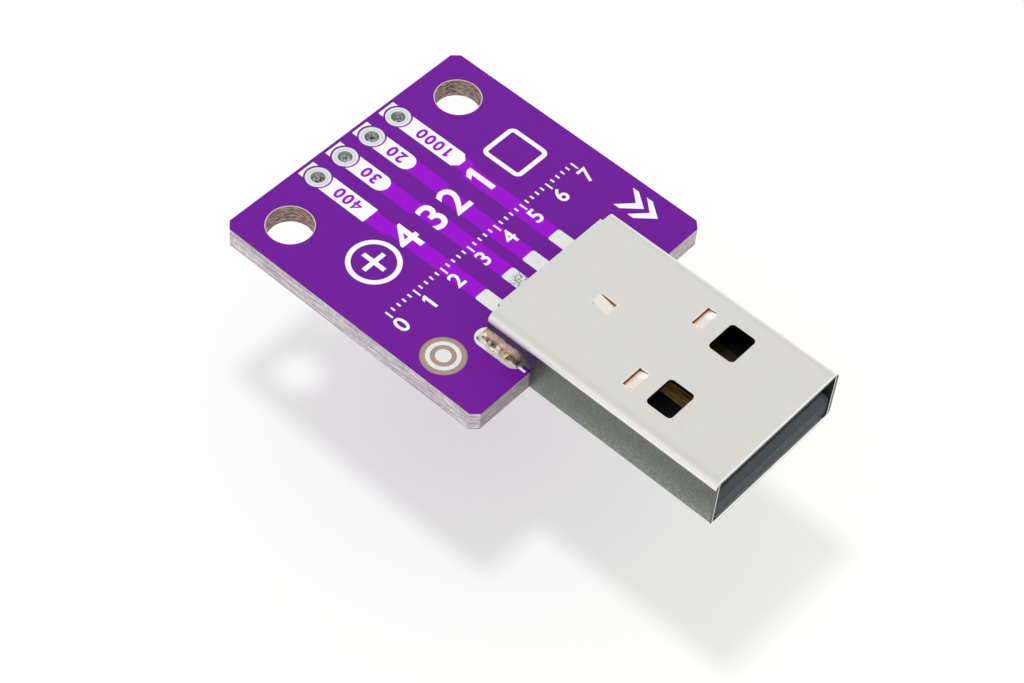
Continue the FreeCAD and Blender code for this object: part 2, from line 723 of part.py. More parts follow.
def make_contact(name, contact_y):
    """Strip in the tongue whose nose turns down at the front and whose tail lies on its pad."""
    body = new_body("contact_" + name)
    drop = "Sizes.contact_nose"
    strip = side(body, name + "_strip", f"-({contact_y}) - Sizes.contact_width / 2")
    outline(
        strip,
        [
            (TAIL_REAR, TAIL_BOTTOM),
            (f"{CONTACT_FRONT} - {drop}", TAIL_BOTTOM),
            (CONTACT_FRONT, f"{TAIL_BOTTOM} - {drop}"),
            (CONTACT_FRONT, f"{TAIL_TOP} - {drop}"),
            (f"{CONTACT_FRONT} - {drop}", TAIL_TOP),
            (TAIL_REAR, TAIL_TOP),
        ],
    )
    pad(body, strip, "Sizes.contact_width")


def make_tail_solder(name, contact_y):
    """Solder wedge behind a tail, with a film under it and a low fillet along both sides."""
    body = new_body("tail_solder_" + name)
    half = "(Sizes.contact_width / 2 + Sizes.tail_solder_side)"
    toe = f"({TAIL_REAR} - Sizes.tail_solder_toe)"
    top = f"({COPPER_TOP} + Sizes.tail_solder_height)"
    front = f"({BRIDGE_REAR} - Sizes.insulator_gap)"
    wedge = side(body, name + "_wedge", f"-({contact_y}) - {half}")
    outline(
        wedge,
        [(toe, COPPER_TOP), (front, COPPER_TOP), (front, top), (TAIL_REAR, top)],
    )
    pad(body, wedge, f"2 * {half}")
    seat = side(body, name + "_seat", f"-({contact_y}) + Sizes.contact_width / 2")
    rectangle(seat, TAIL_REAR, TAIL_BOTTOM, f"{front} + Sizes.insulator_gap", f"{TAIL_TOP}")
    pocket(body, seat, "Sizes.contact_width")


def make_leg_solder(name, sign):
    """Solder between a leg and its slot, with a sloped collar on both faces of the board."""
    body = new_body("leg_solder_" + name)
    middle = f"{sign} * {LEG_MIDDLE}"
    half_slot = "Sizes.slot_width / 2"
    fill = flat(body, name + "_fill", COPPER_BOTTOM)
    rectangle(fill, LEG_REAR, f"{middle} - {half_slot}", LEG_FRONT, f"{middle} + {half_slot}")
    pad(body, fill, f"{COPPER_TOP} - {COPPER_BOTTOM}")

    foot_long = "(Sizes.slot_length / 2 + Sizes.leg_solder_spread)"
    foot_wide = "(Sizes.slot_width / 2 + Sizes.leg_solder_spread)"
    head_long = "(Sizes.leg_length / 2 + Sizes.plating)"
    head_wide = "(Sizes.sheet_thickness / 2 + Sizes.plating)"
    collars = (
        ("top", COPPER_TOP, f"{COPPER_TOP} + Sizes.leg_solder_rise"),
        ("bottom", COPPER_BOTTOM, f"{COPPER_BOTTOM} - Sizes.leg_solder_rise"),
    )
    for place, foot, head in collars:
        slope = side(body, f"{name}_{place}_slope", f"-({middle}) - {foot_wide}")
        outline(
            slope,
            [
                (f"{SLOT} - {foot_long}", foot),
                (f"{SLOT} + {foot_long}", foot),
                (f"{SLOT} + {head_long}", head),
                (f"{SLOT} - {head_long}", head),
            ],
        )
        pad(body, slope, f"2 * {foot_wide}")
    flanks = cross(body, name + "_flanks", f"{SLOT} - {foot_long}")
    for _, foot, head in collars:
        for _, way in SIDES:
            edge = f"{middle} + {way} * {foot_wide}"
            outline(flanks, [(edge, foot), (edge, head), (f"{middle} + {way} * {head_wide}", head)])
    pocket(body, flanks, f"2 * {foot_long}", reverse=True)

    inner_face = f"-{HALF_SHELL}" if sign > 0 else HALF_INSIDE
    seat = side(body, name + "_leg_seat", inner_face)
    below, above = f"({LEG_END} - Sizes.leg_solder_rise)", f"({WALL_FOOT} + Sizes.leg_solder_rise)"
    rear, front = f"({SLOT} - Sizes.slot_length)", f"({SLOT} + Sizes.slot_length)"
    outline(
        seat,
        [
            (LEG_REAR, below), (LEG_FRONT, below), *reversed(leg_root()),
            (front, WALL_FOOT), (front, above), (rear, above),
            (rear, WALL_FOOT), (LEG_REAR, WALL_FOOT),
        ],
    )
    pocket(body, seat, "Sizes.sheet_thickness", reverse=True)


make_laminate()
make_mask("solder_mask_top", LAMINATE_TOP, True)
make_mask("solder_mask_bottom", "0", False)
for net, header_place, contact_place in NETS:
    make_net(net, header_place, contact_place)
for side_name, direction in SIDES:
    make_slot_lining(side_name, direction)
make_fiducial()
make_shell()
make_insulator()
for net, _, contact_place in NETS:
    make_contact(net, contact_place)
    make_tail_solder(net, contact_place)
for side_name, direction in SIDES:
    make_leg_solder(side_name, direction)

doc.recompute()
for item in doc.Objects:
    if "Invalid" in item.State or "Error" in item.State:
        raise RuntimeError(f"{item.Label} is {item.State}")
for body in finished:
    if body.Shape.isNull() or not body.Shape.isValid() or len(body.Shape.Solids) != 1:
        raise RuntimeError(f"{body.Label} has no sound solid")

os.makedirs("parts", exist_ok=True)
for body in finished:
    body.Shape.exportStep(f"parts/{body.Label}.step")
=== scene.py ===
"""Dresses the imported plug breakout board: finishes, solder, print, studio and camera."""

import math

import bmesh
import bpy
from bpy.props import FloatProperty, FloatVectorProperty, IntProperty, PointerProperty
from mathutils import Matrix, Vector, noise
from mathutils.geometry import delaunay_2d_cdt, interpolate_bezier, intersect_line_line_2d


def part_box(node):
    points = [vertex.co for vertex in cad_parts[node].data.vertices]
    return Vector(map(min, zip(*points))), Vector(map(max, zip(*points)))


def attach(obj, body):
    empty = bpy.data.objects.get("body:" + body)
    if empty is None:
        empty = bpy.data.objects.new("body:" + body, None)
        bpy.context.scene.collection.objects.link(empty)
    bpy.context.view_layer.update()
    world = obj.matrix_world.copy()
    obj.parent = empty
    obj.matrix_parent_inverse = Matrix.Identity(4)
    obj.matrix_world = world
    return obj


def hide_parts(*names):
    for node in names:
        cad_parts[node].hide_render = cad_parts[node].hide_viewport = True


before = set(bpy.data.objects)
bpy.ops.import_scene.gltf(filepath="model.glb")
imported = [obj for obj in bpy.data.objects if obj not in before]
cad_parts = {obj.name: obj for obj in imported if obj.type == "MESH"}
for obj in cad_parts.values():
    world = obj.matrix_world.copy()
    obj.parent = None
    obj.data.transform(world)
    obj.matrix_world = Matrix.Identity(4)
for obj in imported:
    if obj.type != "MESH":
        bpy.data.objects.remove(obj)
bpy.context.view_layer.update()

bl_info = {
    "name": "Plug Breakout Board",
    "version": (1, 0, 0),
    "blender": (4, 5, 0),
    "location": "3D View > Sidebar > Breakout",
    "description": "Finishes, solder, print and studio for a small plug breakout board",
    "category": "Object",
}

MM = 0.001
NETS = ("power", "data_minus", "data_plus", "ground")
BOARD_LOW, BOARD_HIGH = (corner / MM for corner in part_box("laminate"))
BOARD_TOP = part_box("solder_mask_top")[1].z / MM
SHELL_LOW, SHELL_HIGH = (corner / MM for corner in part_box("plug_shell"))
WHITE = (1.0, 1.0, 1.0, 1.0)
GREY = (0.5, 0.5, 0.5, 1.0)
FLOOR_GLOW = (0.99, 1.0, 0.93, 1.0)
CLOUD_RANGE = (0.2, 0.8)
VALUE, COUNT = "NodeSocketFloat", "NodeSocketInt"
SHADE, PLACE = "NodeSocketColor", "NodeSocketVector"

# Board, lengths in millimetres

HEADER_X = -1.6
HEADER_PITCH = 2.54
HEADER_Y = tuple(row * HEADER_PITCH for row in (1.5, 0.5, -0.5, -1.5))
COLLAR_RADIUS = 0.66
PAD_Y = (3.5, 1.0, -1.0, -3.5)
PAD_REAR = 12.55
JOG_X = 4.8
TRACE_WIDTH = 1.15
HOLE_SIDE = 8.0
HOLE_RADIUS = 1.6
BURN_Y = -0.6
SOLDER_SHADOWS = (((17.7, 6.12), (0.45, 0.16)), ((16.05, 6.15), (0.22, 0.12)))

# Plug, lengths in millimetres

SHEET = 0.3
STOP = (25.07, 3.33)
STOP_HALF = (0.35, 0.85)
STOP_END = 24.8
CATCH = (19.88, -0.2)
CATCH_HALF = (0.635, 0.475)
CATCH_END = 0.2
BUMPS = ((25.2, -2.78), (25.2, 3.8))
BUMP_RADIUS = 0.42
BUMP_TOP_RADIUS = 0.26
WINDOW = (27.59, 3.0)
WINDOW_HALF = (1.01, 1.26)
SOLDER_FRONT = 18.1
SOLDER_TOP = 3.0
SHADOW_Z = 2.93
SHADOW_WIDTH = 0.96
SHADOW_FRONT = 17.6

# Print, lengths in millimetres

SINK = 0.004
FIELDS = {"power": (5.85, "1000"), "data_minus": (3.8, "20"), "data_plus": (3.9, "30"),
          "ground": (4.75, "400")}
FIELD_REAR = BOARD_LOW.x + 0.25
FIELD_BEVEL = 0.42
LABEL_WEIGHT, NUMERAL_WEIGHT, RULER_WEIGHT = 0.045, 0.05, 0.028
LABEL_SHIFT = 0.12
NUMERAL_X = 6.05
CROSSHAIR = (6.0, -6.45)
CROSSHAIR_RADII = (1.85, 1.5)
CROSSHAIR_ARM = 0.95
CROSSHAIR_HALF = 0.17
WRITE_ON = (6.1, 7.0)
WRITE_ON_HALF = (1.2, 1.1)
WRITE_ON_RADII = (0.5, 0.16)
CHEVRON = ((14.2, 8.2), (15.4, 9.3), (14.2, 10.2), (13.7, 10.2), (14.7, 9.3), (13.7, 8.2))
CHEVRON_STEP = 1.2
DASH = ((18.35, -6.22), (18.75, -6.22))
DASH_WIDTH = 0.16
RULER_X = 9.35
RULER_NUMBER_X = 10.75
RULER_NUMBERS = 8
TICK = (0.34, 0.13)
LONGER_BY = 0.9

# Lettering, lengths in the font's own units

NUMBER_SPACING = 1.25
CURVE_STEPS = 7
BAR_HEIGHT = 0.6
FLAG = ((0.02, 0.0), (-0.107, -0.092), (-0.107, -0.195), (0.0, -0.117))
OPEN_SHARE = 0.4

# Outlines and solder lumps

TRIANGLES_INSIDE = 1
TOUCHING = 0.00001
STRAIGHT = 0.001
SHORTEST_SIDE = 0.008
SHARPEST = 0.4
LUMPS_PER_MM = 1.9
LUMP_DIMENSION, LUMP_LACUNARITY, LUMP_OCTAVES = 1.0, 2.0, 3
LUMP_BIAS = 0.35

# Studio, lengths in millimetres

FLOOR_HALF = 3000.0
LAMP = (11.6, -27.5, 190.0)
LAMP_AIM = (15.0, 0.0, 0.0)
SENSOR = 36.0
NEAREST = 10.0
EYE = (78.459, -85.797, 131.637)
EYE_RIGHT = (0.74196, 0.66758, 0.06188)
EYE_DOWN = (0.55602, -0.56113, -0.61317)
EYE_FORWARD = (-0.37462, 0.48935, -0.78753)


def colour(red, green, blue):
    """Screen values from 0 to 255 as the linear colour that Blender takes."""
    shares = (value / 255.0 for value in (red, green, blue))
    linear = [s / 12.92 if s <= 0.04045 else ((s + 0.055) / 1.055) ** 2.4 for s in shares]
    return (*linear, 1.0)


def colour_setting(name, description, *screen):
    return FloatVectorProperty(
        name=name, description=description, subtype="COLOR", size=4, min=0.0, max=1.0,
        default=colour(*screen),
    )


def length_setting(name, description, millimetres):
    return FloatProperty(
        name=name, description=description, subtype="DISTANCE", unit="LENGTH", precision=5,
        default=millimetres * MM,
    )


class BoardSettings(bpy.types.PropertyGroup):
    mask: colour_setting("Mask", "Solder mask over bare laminate", 112, 20, 154)
    trace: colour_setting("Trace", "Solder mask over copper", 157, 2, 210)
    edge_pale: colour_setting("Edge Pale", "Pale glass layers in the board's edge", 255, 252, 248)
    edge_dark: colour_setting("Edge Dark", "Dark glass layers in the board's edge", 196, 180, 184)
    resin: colour_setting("Resin", "Bare laminate seen from above", 168, 146, 132)
    bore_dark: colour_setting("Bore Dark", "Dark layers in the mounting holes", 84, 66, 70)
    bore_pale: colour_setting("Bore Pale", "Pale layers in the mounting holes", 214, 188, 168)
    tin: colour_setting("Tin", "Tinned pads, rings and barrels", 226, 233, 232)
    tin_dark: colour_setting("Tin Dark", "Shaded and burnt spots on the tin", 66, 66, 56)
    solder: colour_setting("Solder", "Solder on tails and legs", 196, 198, 190)
    # Also the painted glint near the top of the header barrels.
    cream: colour_setting("Cream", "Solder seen through a thin coat of flux", 248, 232, 212)
    flux: colour_setting("Flux", "Thick flux left on the solder", 214, 158, 92)


class PlugSettings(bpy.types.PropertyGroup):
    steel: colour_setting("Steel", "Nickelled sheet, seen on the broad faces", 219, 216, 211)
    steel_cool: colour_setting("Steel Cool", "Cooler clouds in the sheet", 216, 217, 212)
    # Painted shade: the side walls are painted far darker than the broad faces, darkest just below
    # the folds.
    wall: colour_setting("Wall", "Sheet on the side walls", 116, 122, 116)
    wall_dark: colour_setting("Wall Dark", "Sheet just below the folds", 102, 106, 101)
    band: colour_setting("Band", "Shaded band above the solder", 104, 82, 112)
    shade: colour_setting("Shade", "Cut walls of the windows and what lies behind them", 16, 16, 18)
    # Painted highlight on the folds.
    fold: colour_setting("Fold", "Polished folds", 242, 238, 233)
    # Painted highlight along the cut edges, the top edges and the tops of the bumps.
    lip: colour_setting("Lip", "Bright lines along the cut edges", 252, 250, 246)
    cut: colour_setting("Cut", "Cut edges of the sheet", 66, 69, 68)
    # Painted shade on the inner faces of the shell.
    lining: colour_setting("Lining", "Inner faces of the shell", 92, 94, 92)
    # Painted highlight round the small tongues; also scuffs low on the walls.
    pressed: colour_setting("Pressed", "Freshly bent metal of the small tongues", 240, 232, 222)
    slit: colour_setting("Slit", "Sheared walls of the small tongues", 222, 194, 168)
    insulator: colour_setting("Insulator", "Moulded insulator", 82, 87, 92)
    # Painted light on the insulator further back in the mouth.
    insulator_worn: colour_setting("Insulator Worn", "Insulator deep in the mouth", 122, 127, 131)
    # Painted shade on the insulator's front face.
    insulator_end: colour_setting("Insulator End", "Front face of the insulator", 36, 44, 57)
    contact_dark: colour_setting("Contact Dark", "Drawing marks in the contacts", 128, 90, 36)
    contact_pale: colour_setting("Contact Pale", "Gold of the contacts", 255, 214, 122)


class PrintSettings(bpy.types.PropertyGroup):
    ink: colour_setting("Ink", "Printed marks", 252, 252, 250)
    thickness: length_setting("Thickness", "How far the ink stands on the mask", 0.012)
    field_width: length_setting("Field Width", "Width of the label fields", 1.42)
    field_gap: length_setting("Field Gap", "Radius kept clear round each header pad", 1.0)
    label_height: length_setting("Label Height", "Height of the numbers in the fields", 0.95)
    numeral_height: length_setting("Numeral Height", "Height of the line numbers", 2.3)
    ruler_height: length_setting("Ruler Number Height", "Height of the ruler's numbers", 1.2)
    ruler_pitch: length_setting("Ruler Pitch", "Distance between two numbers", 2.54)
    ruler_parts: IntProperty(
        name="Ruler Parts", description="Ticks in one pitch", default=5, min=1, max=20)


class StudioSettings(bpy.types.PropertyGroup):
    drop: length_setting("Drop", "Height of the board above the floor", 17.0)
    floor: colour_setting("Floor", "Plain pale floor", 231, 231, 231)
    glow: FloatProperty(
        name="Glow", description="Light that the floor shows to the camera of itself", default=0.3)
    key: FloatProperty(name="Key", description="Watts of the overhead lamp", default=0.1, min=0.0)
    key_width: length_setting("Key Width", "Diameter of the overhead lamp", 24.0)
    fill: FloatProperty(name="Fill", description="Strength of the soft room light", default=0.72)
    lens: FloatProperty(
        name="Lens", description="Focal length on a 36 mm sensor", subtype="DISTANCE_CAMERA",
        default=92.5)


# Node trees

class Graph:
    """Adds nodes to a tree and gives back what comes out of them."""

    def __init__(self, tree):
        self.tree = tree

    def feed(self, socket, value):
        if isinstance(value, bpy.types.NodeSocket):
            self.tree.links.new(value, socket)
        else:
            socket.default_value = value

    def node(self, kind, inputs, output=0, **settings):
        node = self.tree.nodes.new(kind)
        for key, value in settings.items():
            setattr(node, key, value)
        for key, value in inputs.items():
            self.feed(node.inputs[key], value)
        return node.outputs[output]

    def group(self, name, **inputs):
        node = self.tree.nodes.new("ShaderNodeGroup")
        node.node_tree = bpy.data.node_groups[name]
        for key, value in inputs.items():
            self.feed(node.inputs[key.replace("_", " ").title()], value)
        return node.outputs

    def math(self, operation, *values):
        return self.node("ShaderNodeMath", dict(enumerate(values)), operation=operation)

    def vector(self, operation, *values):
        return self.node("ShaderNodeVectorMath", dict(enumerate(values)), operation=operation)

    def apart(self, value, middle):
        """How far a value lies from a middle, on either side."""
        return self.math("ABSOLUTE", self.math("SUBTRACT", value, middle))

    def noise(self, place, scale, detail=3.0):
        return self.node("ShaderNodeTexNoise", {"Vector": place, "Scale": scale, "Detail": detail})

    def mottle(self, place, tone, size, amount):
        """A tone broken up by clouds."""
        return self.group("Mottle", place=place, colour=tone, size=size, amount=amount)["Colour"]

    def spots(self, place, size, cover, shift):
        return self.group("Spots", place=place, size=size, cover=cover, shift=shift)["Mask"]

    def band(self, value, centre, width, softness):
        return self.group(
            "Band", value=value, centre=centre, width=width, softness=softness)["Mask"]

    def rise(self, value, low, high, first=0.0, last=1.0):
        """A soft step from first to last as value goes from low to high."""
        return self.node(
            "ShaderNodeMapRange",
            {"Value": value, "From Min": low, "From Max": high, "To Min": first, "To Max": last},
            interpolation_type="SMOOTHSTEP",
        )

    def gloss(self, cloud, low, high):
        """Roughness between low and high that follows a cloud."""
        return self.rise(cloud, *CLOUD_RANGE, low, high)

    def seen(self):
        """One on rays that show the surface, zero on rays that light others."""
        ray = self.tree.nodes.new("ShaderNodeLightPath").outputs
        direct = self.math("MAXIMUM", ray["Is Camera Ray"], ray["Is Glossy Ray"])
        return self.math("MAXIMUM", direct, ray["Is Transmission Ray"])

    def mix(self, share, first, second):
        return self.node("ShaderNodeMix", {0: share, 6: first, 7: second}, 2, data_type="RGBA")

    def bump(self, height, distance, strength=1.0):
        return self.node(
            "ShaderNodeBump", {"Height": height, "Distance": distance * MM, "Strength": strength})

    def place(self):
        """Object coordinates in millimetres."""
        local = self.node("ShaderNodeTexCoord", {}, "Object")
        return self.node("ShaderNodeMapping", {"Vector": local, "Scale": (1 / MM, 1 / MM, 1 / MM)})

    def split(self, vector):
        node = self.tree.nodes.new("ShaderNodeSeparateXYZ")
        self.feed(node.inputs[0], vector)
        return node.outputs

    def product(self, *values):
        total = values[0]
        for value in values[1:]:
            total = self.math("MULTIPLY", total, value)
        return total

    def beyond(self, x, y, centre, half):
        """How far a point lies outside a rectangle; it is negative inside."""
        sides = [self.math("SUBTRACT", self.apart(value, middle), reach)
                 for value, middle, reach in zip((x, y), centre, half)]
        return self.math("MAXIMUM", *sides)

    def reach(self, place, centre):
        """Distance in the board's plane from centre."""
        flat = self.vector("MULTIPLY", self.vector("SUBTRACT", place, (*centre, 0.0)), (1, 1, 0))
        return self.node("ShaderNodeVectorMath", {0: flat}, 1, operation="LENGTH")


def new_group(name, takes, gives, kind="ShaderNodeTree"):
    """The graph of an empty group, and the sockets of what it takes and gives."""
    tree = bpy.data.node_groups.new(name, kind)
    for label, (socket_type, default) in takes.items():
        socket = tree.interface.new_socket(label, in_out="INPUT", socket_type=socket_type)
        if default is not None:
            socket.default_value = default
    for label, socket_type in gives.items():
        tree.interface.new_socket(label, in_out="OUTPUT", socket_type=socket_type)
    entry = tree.nodes.new("NodeGroupInput").outputs
    leave = tree.nodes.new("NodeGroupOutput").inputs
    return Graph(tree), entry, leave


def make_effects():
    """The groups of nodes that the finishes share."""
    graph, take, give = new_group(
        "Mottle",
        {"Place": (PLACE, None), "Colour": (SHADE, GREY), "Size": (VALUE, 1.0),
         "Amount": (VALUE, 0.1)},
        {"Colour": SHADE, "Height": VALUE},
    )
    cloud = graph.noise(take["Place"], graph.math("DIVIDE", 1.0, take["Size"]), 5.0)
    swing = graph.product(graph.math("SUBTRACT", cloud, 0.5), 2.0)
    gain = graph.math("ADD", graph.product(swing, take["Amount"]), 1.0)
    shaded = graph.node("ShaderNodeVectorMath", {0: take["Colour"], 3: gain}, operation="SCALE")
    graph.feed(give["Colour"], shaded)
    graph.feed(give["Height"], cloud)

    graph, take, give = new_group(
        "Streaks",
        {"Place": (PLACE, None), "Stretch": (PLACE, (1.0, 1.0, 1.0)), "Dark": (SHADE, GREY),
         "Pale": (SHADE, GREY), "Contrast": (VALUE, 1.0)},
        {"Colour": SHADE, "Height": VALUE},
    )
    drawn = graph.noise(graph.vector("MULTIPLY", take["Place"], take["Stretch"]), 1.0, 4.0)
    centred = graph.product(graph.math("SUBTRACT", drawn, 0.5), take["Contrast"])
    share = graph.node("ShaderNodeMath", {0: centred, 1: 0.5}, operation="ADD", use_clamp=True)
    graph.feed(give["Colour"], graph.mix(share, take["Dark"], take["Pale"]))
    graph.feed(give["Height"], share)

    graph, take, give = new_group(
        "Band",
        {"Value": (VALUE, 0.0), "Centre": (VALUE, 0.0), "Width": (VALUE, 1.0),
         "Softness": (VALUE, 0.02)},
        {"Mask": VALUE},
    )
    away = graph.apart(take["Value"], take["Centre"])
    inside = graph.math("SUBTRACT", graph.math("DIVIDE", take["Width"], 2.0), away)
    half = graph.math("DIVIDE", take["Softness"], 2.0)
    graph.feed(give["Mask"], graph.rise(inside, graph.product(half, -1.0), half))

    graph, take, give = new_group(
        "Spots",
        {"Place": (PLACE, None), "Size": (VALUE, 0.2), "Cover": (VALUE, 0.3),
         "Shift": (PLACE, (0, 0, 0))},
        {"Mask": VALUE},
    )
    moved = graph.vector("ADD", take["Place"], take["Shift"])
    cloud = graph.noise(moved, graph.math("DIVIDE", 1.0, take["Size"]), 3.0)
    edge = graph.math("SUBTRACT", 0.75, graph.product(take["Cover"], 0.5))
    graph.feed(give["Mask"], graph.rise(cloud, edge, graph.math("ADD", edge, 0.05)))


def new_finish(name, **constants):
    """A material with these plain values, its graph, its shader's inputs and coordinates."""
    finish = bpy.data.materials.new(name)
    finish.use_nodes = True
    graph = Graph(finish.node_tree)
    shader = finish.node_tree.nodes["Principled BSDF"].inputs
    for key, value in constants.items():
        shader[key.replace("_", " ")].default_value = value
    return finish, graph, shader, graph.place()


def wear(finish, *nodes):
    """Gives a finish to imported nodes."""
    for node in nodes:
        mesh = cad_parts[node].data
        mesh.materials.clear()
        mesh.materials.append(finish)


def laminate_finish(board):
    finish, graph, shader, place = new_finish("glass_laminate", Roughness=0.7)
    x, y, z = graph.split(place)
    layers = graph.group(
        "Streaks", place=place, stretch=(0.6, 0.6, 14.0), dark=board.edge_dark,
        pale=board.edge_pale, contrast=3.6)
    stain = graph.spots(place, size=0.34, cover=0.56, shift=(2, 5, 1))
    stained = graph.mix(graph.product(stain, 0.16), layers["Colour"], board.mask)
    broken = graph.mottle(place, stained, size=0.14, amount=0.3)
    # Painted shade: the board's front edge is darker on the near side.
    front = graph.product(
        graph.rise(x, BOARD_HIGH.x - 0.05, BOARD_HIGH.x), graph.rise(y, -2.0, -6.0))
    edge = graph.mix(graph.product(front, 0.45), broken, board.bore_dark)
    bore = graph.group(
        "Streaks", place=place, stretch=(2.6, 2.6, 7.0), dark=board.bore_dark,
        pale=board.bore_pale, contrast=3.4)
    fibres = graph.mottle(place, bore["Colour"], size=0.08, amount=0.5)
    side = graph.node("ShaderNodeCombineXYZ", {0: x, 1: graph.math("ABSOLUTE", y), 2: z})
    from_hole = graph.reach(side, (0.0, HOLE_SIDE))
    hole = graph.rise(from_hole, HOLE_RADIUS + 0.3, HOLE_RADIUS + 0.2)
    walls = graph.mix(hole, edge, fibres)
    top = graph.rise(z, BOARD_HIGH.z - 0.02, BOARD_HIGH.z - 0.005)
    bare = graph.mottle(place, board.resin, size=0.25, amount=0.12)
    rim = graph.mix(hole, bare, board.cream)
    graph.feed(shader["Base Color"], graph.mix(top, walls, rim))
    graph.feed(shader["Normal"], graph.bump(layers["Height"], 0.03, 0.6))
    return finish


def mask_finish(board):
    finish, graph, shader, place = new_finish(
        "solder_mask_purple", Roughness=0.42, Specular_IOR_Level=0.15)
    x, y, z = graph.split(place)
    side = graph.math("ABSOLUTE", y)
    lines = []
    for start, end in zip(HEADER_Y[:2], PAD_Y[:2]):
        jog = graph.node(
            "ShaderNodeMapRange",
            {"Value": x, "From Min": JOG_X, "From Max": JOG_X + start - end, "To Min": start,
             "To Max": end})
        lines.append(graph.band(side, centre=jog, width=TRACE_WIDTH, softness=0.03))
    ahead = graph.rise(x, HEADER_X - 0.02, HEADER_X)
    behind = graph.rise(x, PAD_REAR + 0.12, PAD_REAR + 0.1)
    above = graph.rise(z, BOARD_TOP - 0.03, BOARD_TOP - 0.01)
    bright = graph.product(graph.math("MAXIMUM", *lines), ahead, behind, above)
    base = graph.mix(bright, board.mask, board.trace)
    soft = graph.mottle(place, base, size=0.6, amount=0.05)
    graph.feed(shader["Base Color"], soft)
    fine = graph.noise(place, 9.0)
    graph.feed(shader["Normal"], graph.bump(fine, 0.004, 0.5))
    graph.feed(shader["Roughness"], graph.gloss(fine, 0.38, 0.5))
    return finish


def tin_finish(board):
    finish, graph, shader, place = new_finish("tinned_copper", Metallic=0.75)
    x, y, z = graph.split(place)
    cloudy = graph.group("Mottle", place=place, colour=board.tin, size=0.3, amount=0.12)
    row = graph.math("SUBTRACT", graph.math("FRACT", graph.math("DIVIDE", y, HEADER_PITCH)), 0.5)
    lifted = graph.node("ShaderNodeCombineXYZ", {0: x, 1: graph.product(row, HEADER_PITCH), 2: 0.0})
    from_hole = graph.reach(lifted, (HEADER_X, 0.0))
    collar = graph.band(from_hole, centre=COLLAR_RADIUS, width=0.08, softness=0.1)
    ringed = graph.mix(graph.product(collar, 0.28), cloudy["Colour"], board.tin_dark)
    ahead = graph.rise(x, PAD_REAR + 0.4, PAD_REAR + 0.8)
    charred = graph.spots(place, size=0.17, cover=0.56, shift=(1, 7, 3))
    near = graph.rise(graph.apart(y, BURN_Y), 1.2, 0.6)
    glow = graph.spots(place, size=0.55, cover=0.5, shift=(4, 2, 6))
    warm = graph.mix(graph.product(glow, ahead, 0.45), ringed, board.cream)
    spotted = graph.mix(graph.product(charred, ahead, near, 0.65), warm, board.tin_dark)
    # Painted shade and glints in the header barrels: dark and pale streaks, paler towards cream
    # near their top.
    deep = graph.rise(z, BOARD_TOP - 0.05, BOARD_TOP - 0.3)
    barrel = graph.group(
        "Streaks", place=place, stretch=(7.0, 7.0, 4.0), dark=board.tin_dark, pale=board.tin,
        contrast=6.0)
    lit = graph.mix(graph.rise(z, 0.9, 1.4, 0.0, 0.5), barrel["Colour"], board.cream)
    graph.feed(shader["Base Color"], graph.mix(deep, spotted, lit))
    graph.feed(shader["Roughness"], graph.gloss(cloudy["Height"], 0.24, 0.42))
    graph.feed(shader["Normal"], graph.bump(cloudy["Height"], 0.04, 0.5))
    return finish


def sheet_colour(graph, plug, place):
    """The shell's outer faces: broad faces, folds and edges with painted highlights, and speckled
    walls painted dark as shade.
    """
    x, y, z = graph.split(place)
    cloud = graph.rise(graph.noise(place, 0.45, 2.0), 0.42, 0.6)
    shaded = graph.mix(cloud, plug.steel, plug.steel_cool)
    broad = graph.mottle(place, shaded, size=0.5, amount=0.035)
    middle = (SHELL_LOW.z + SHELL_HIGH.z) / 2
    reach = (SHELL_HIGH.z - SHELL_LOW.z) / 2
    height = graph.apart(z, middle)
    # Painted shade on the side walls, darker towards the folds.
    tone = graph.mix(graph.rise(z, 2.6, 0.0), plug.wall_dark, plug.wall)
    grain = graph.mottle(place, tone, size=0.17, amount=0.6)
    wall = graph.mottle(place, grain, size=0.9, amount=0.12)
    scuffs = graph.spots(place, size=0.11, cover=0.42, shift=(6, 1, 2))
    low = graph.product(graph.rise(z, 2.2, 0.0), graph.rise(x, 21.0, 26.0))
    scuffed = graph.mix(graph.product(scuffs, low, 0.22), wall, plug.pressed)
    depth = graph.rise(x, 17.0, 20.0, 0.8, 0.62)
    above_fold = graph.math("ADD", graph.math("SUBTRACT", height, reach), depth)
    # Painted highlight on the folds, with a brighter painted line along their lower edge.
    turned_over = graph.rise(above_fold, 0.0, 0.12)
    fold_highlighted = graph.mix(turned_over, scuffed, plug.fold)
    glint = graph.band(above_fold, centre=0.16, width=0.12, softness=0.1)
    fold_highlighted = graph.mix(glint, fold_highlighted, plug.lip)
    flat = graph.rise(height, reach - 0.22, reach - 0.03)
    folded = graph.mix(flat, fold_highlighted, broad)
    # Painted highlights along the far and front top edges.
    far = graph.product(
        graph.rise(y, SHELL_HIGH.y - 0.55, SHELL_HIGH.y - 0.2),
        graph.rise(z, SHELL_HIGH.z - 0.5, SHELL_HIGH.z - 0.4))
    front = graph.product(
        graph.rise(x, SHELL_HIGH.x - 0.16, SHELL_HIGH.x - 0.04),
        graph.rise(z, SHELL_HIGH.z - 0.3, SHELL_HIGH.z - 0.2))
    rim = graph.product(graph.math("MAXIMUM", far, front), 0.75)
    return graph.mix(rim, folded, plug.lip), height, reach


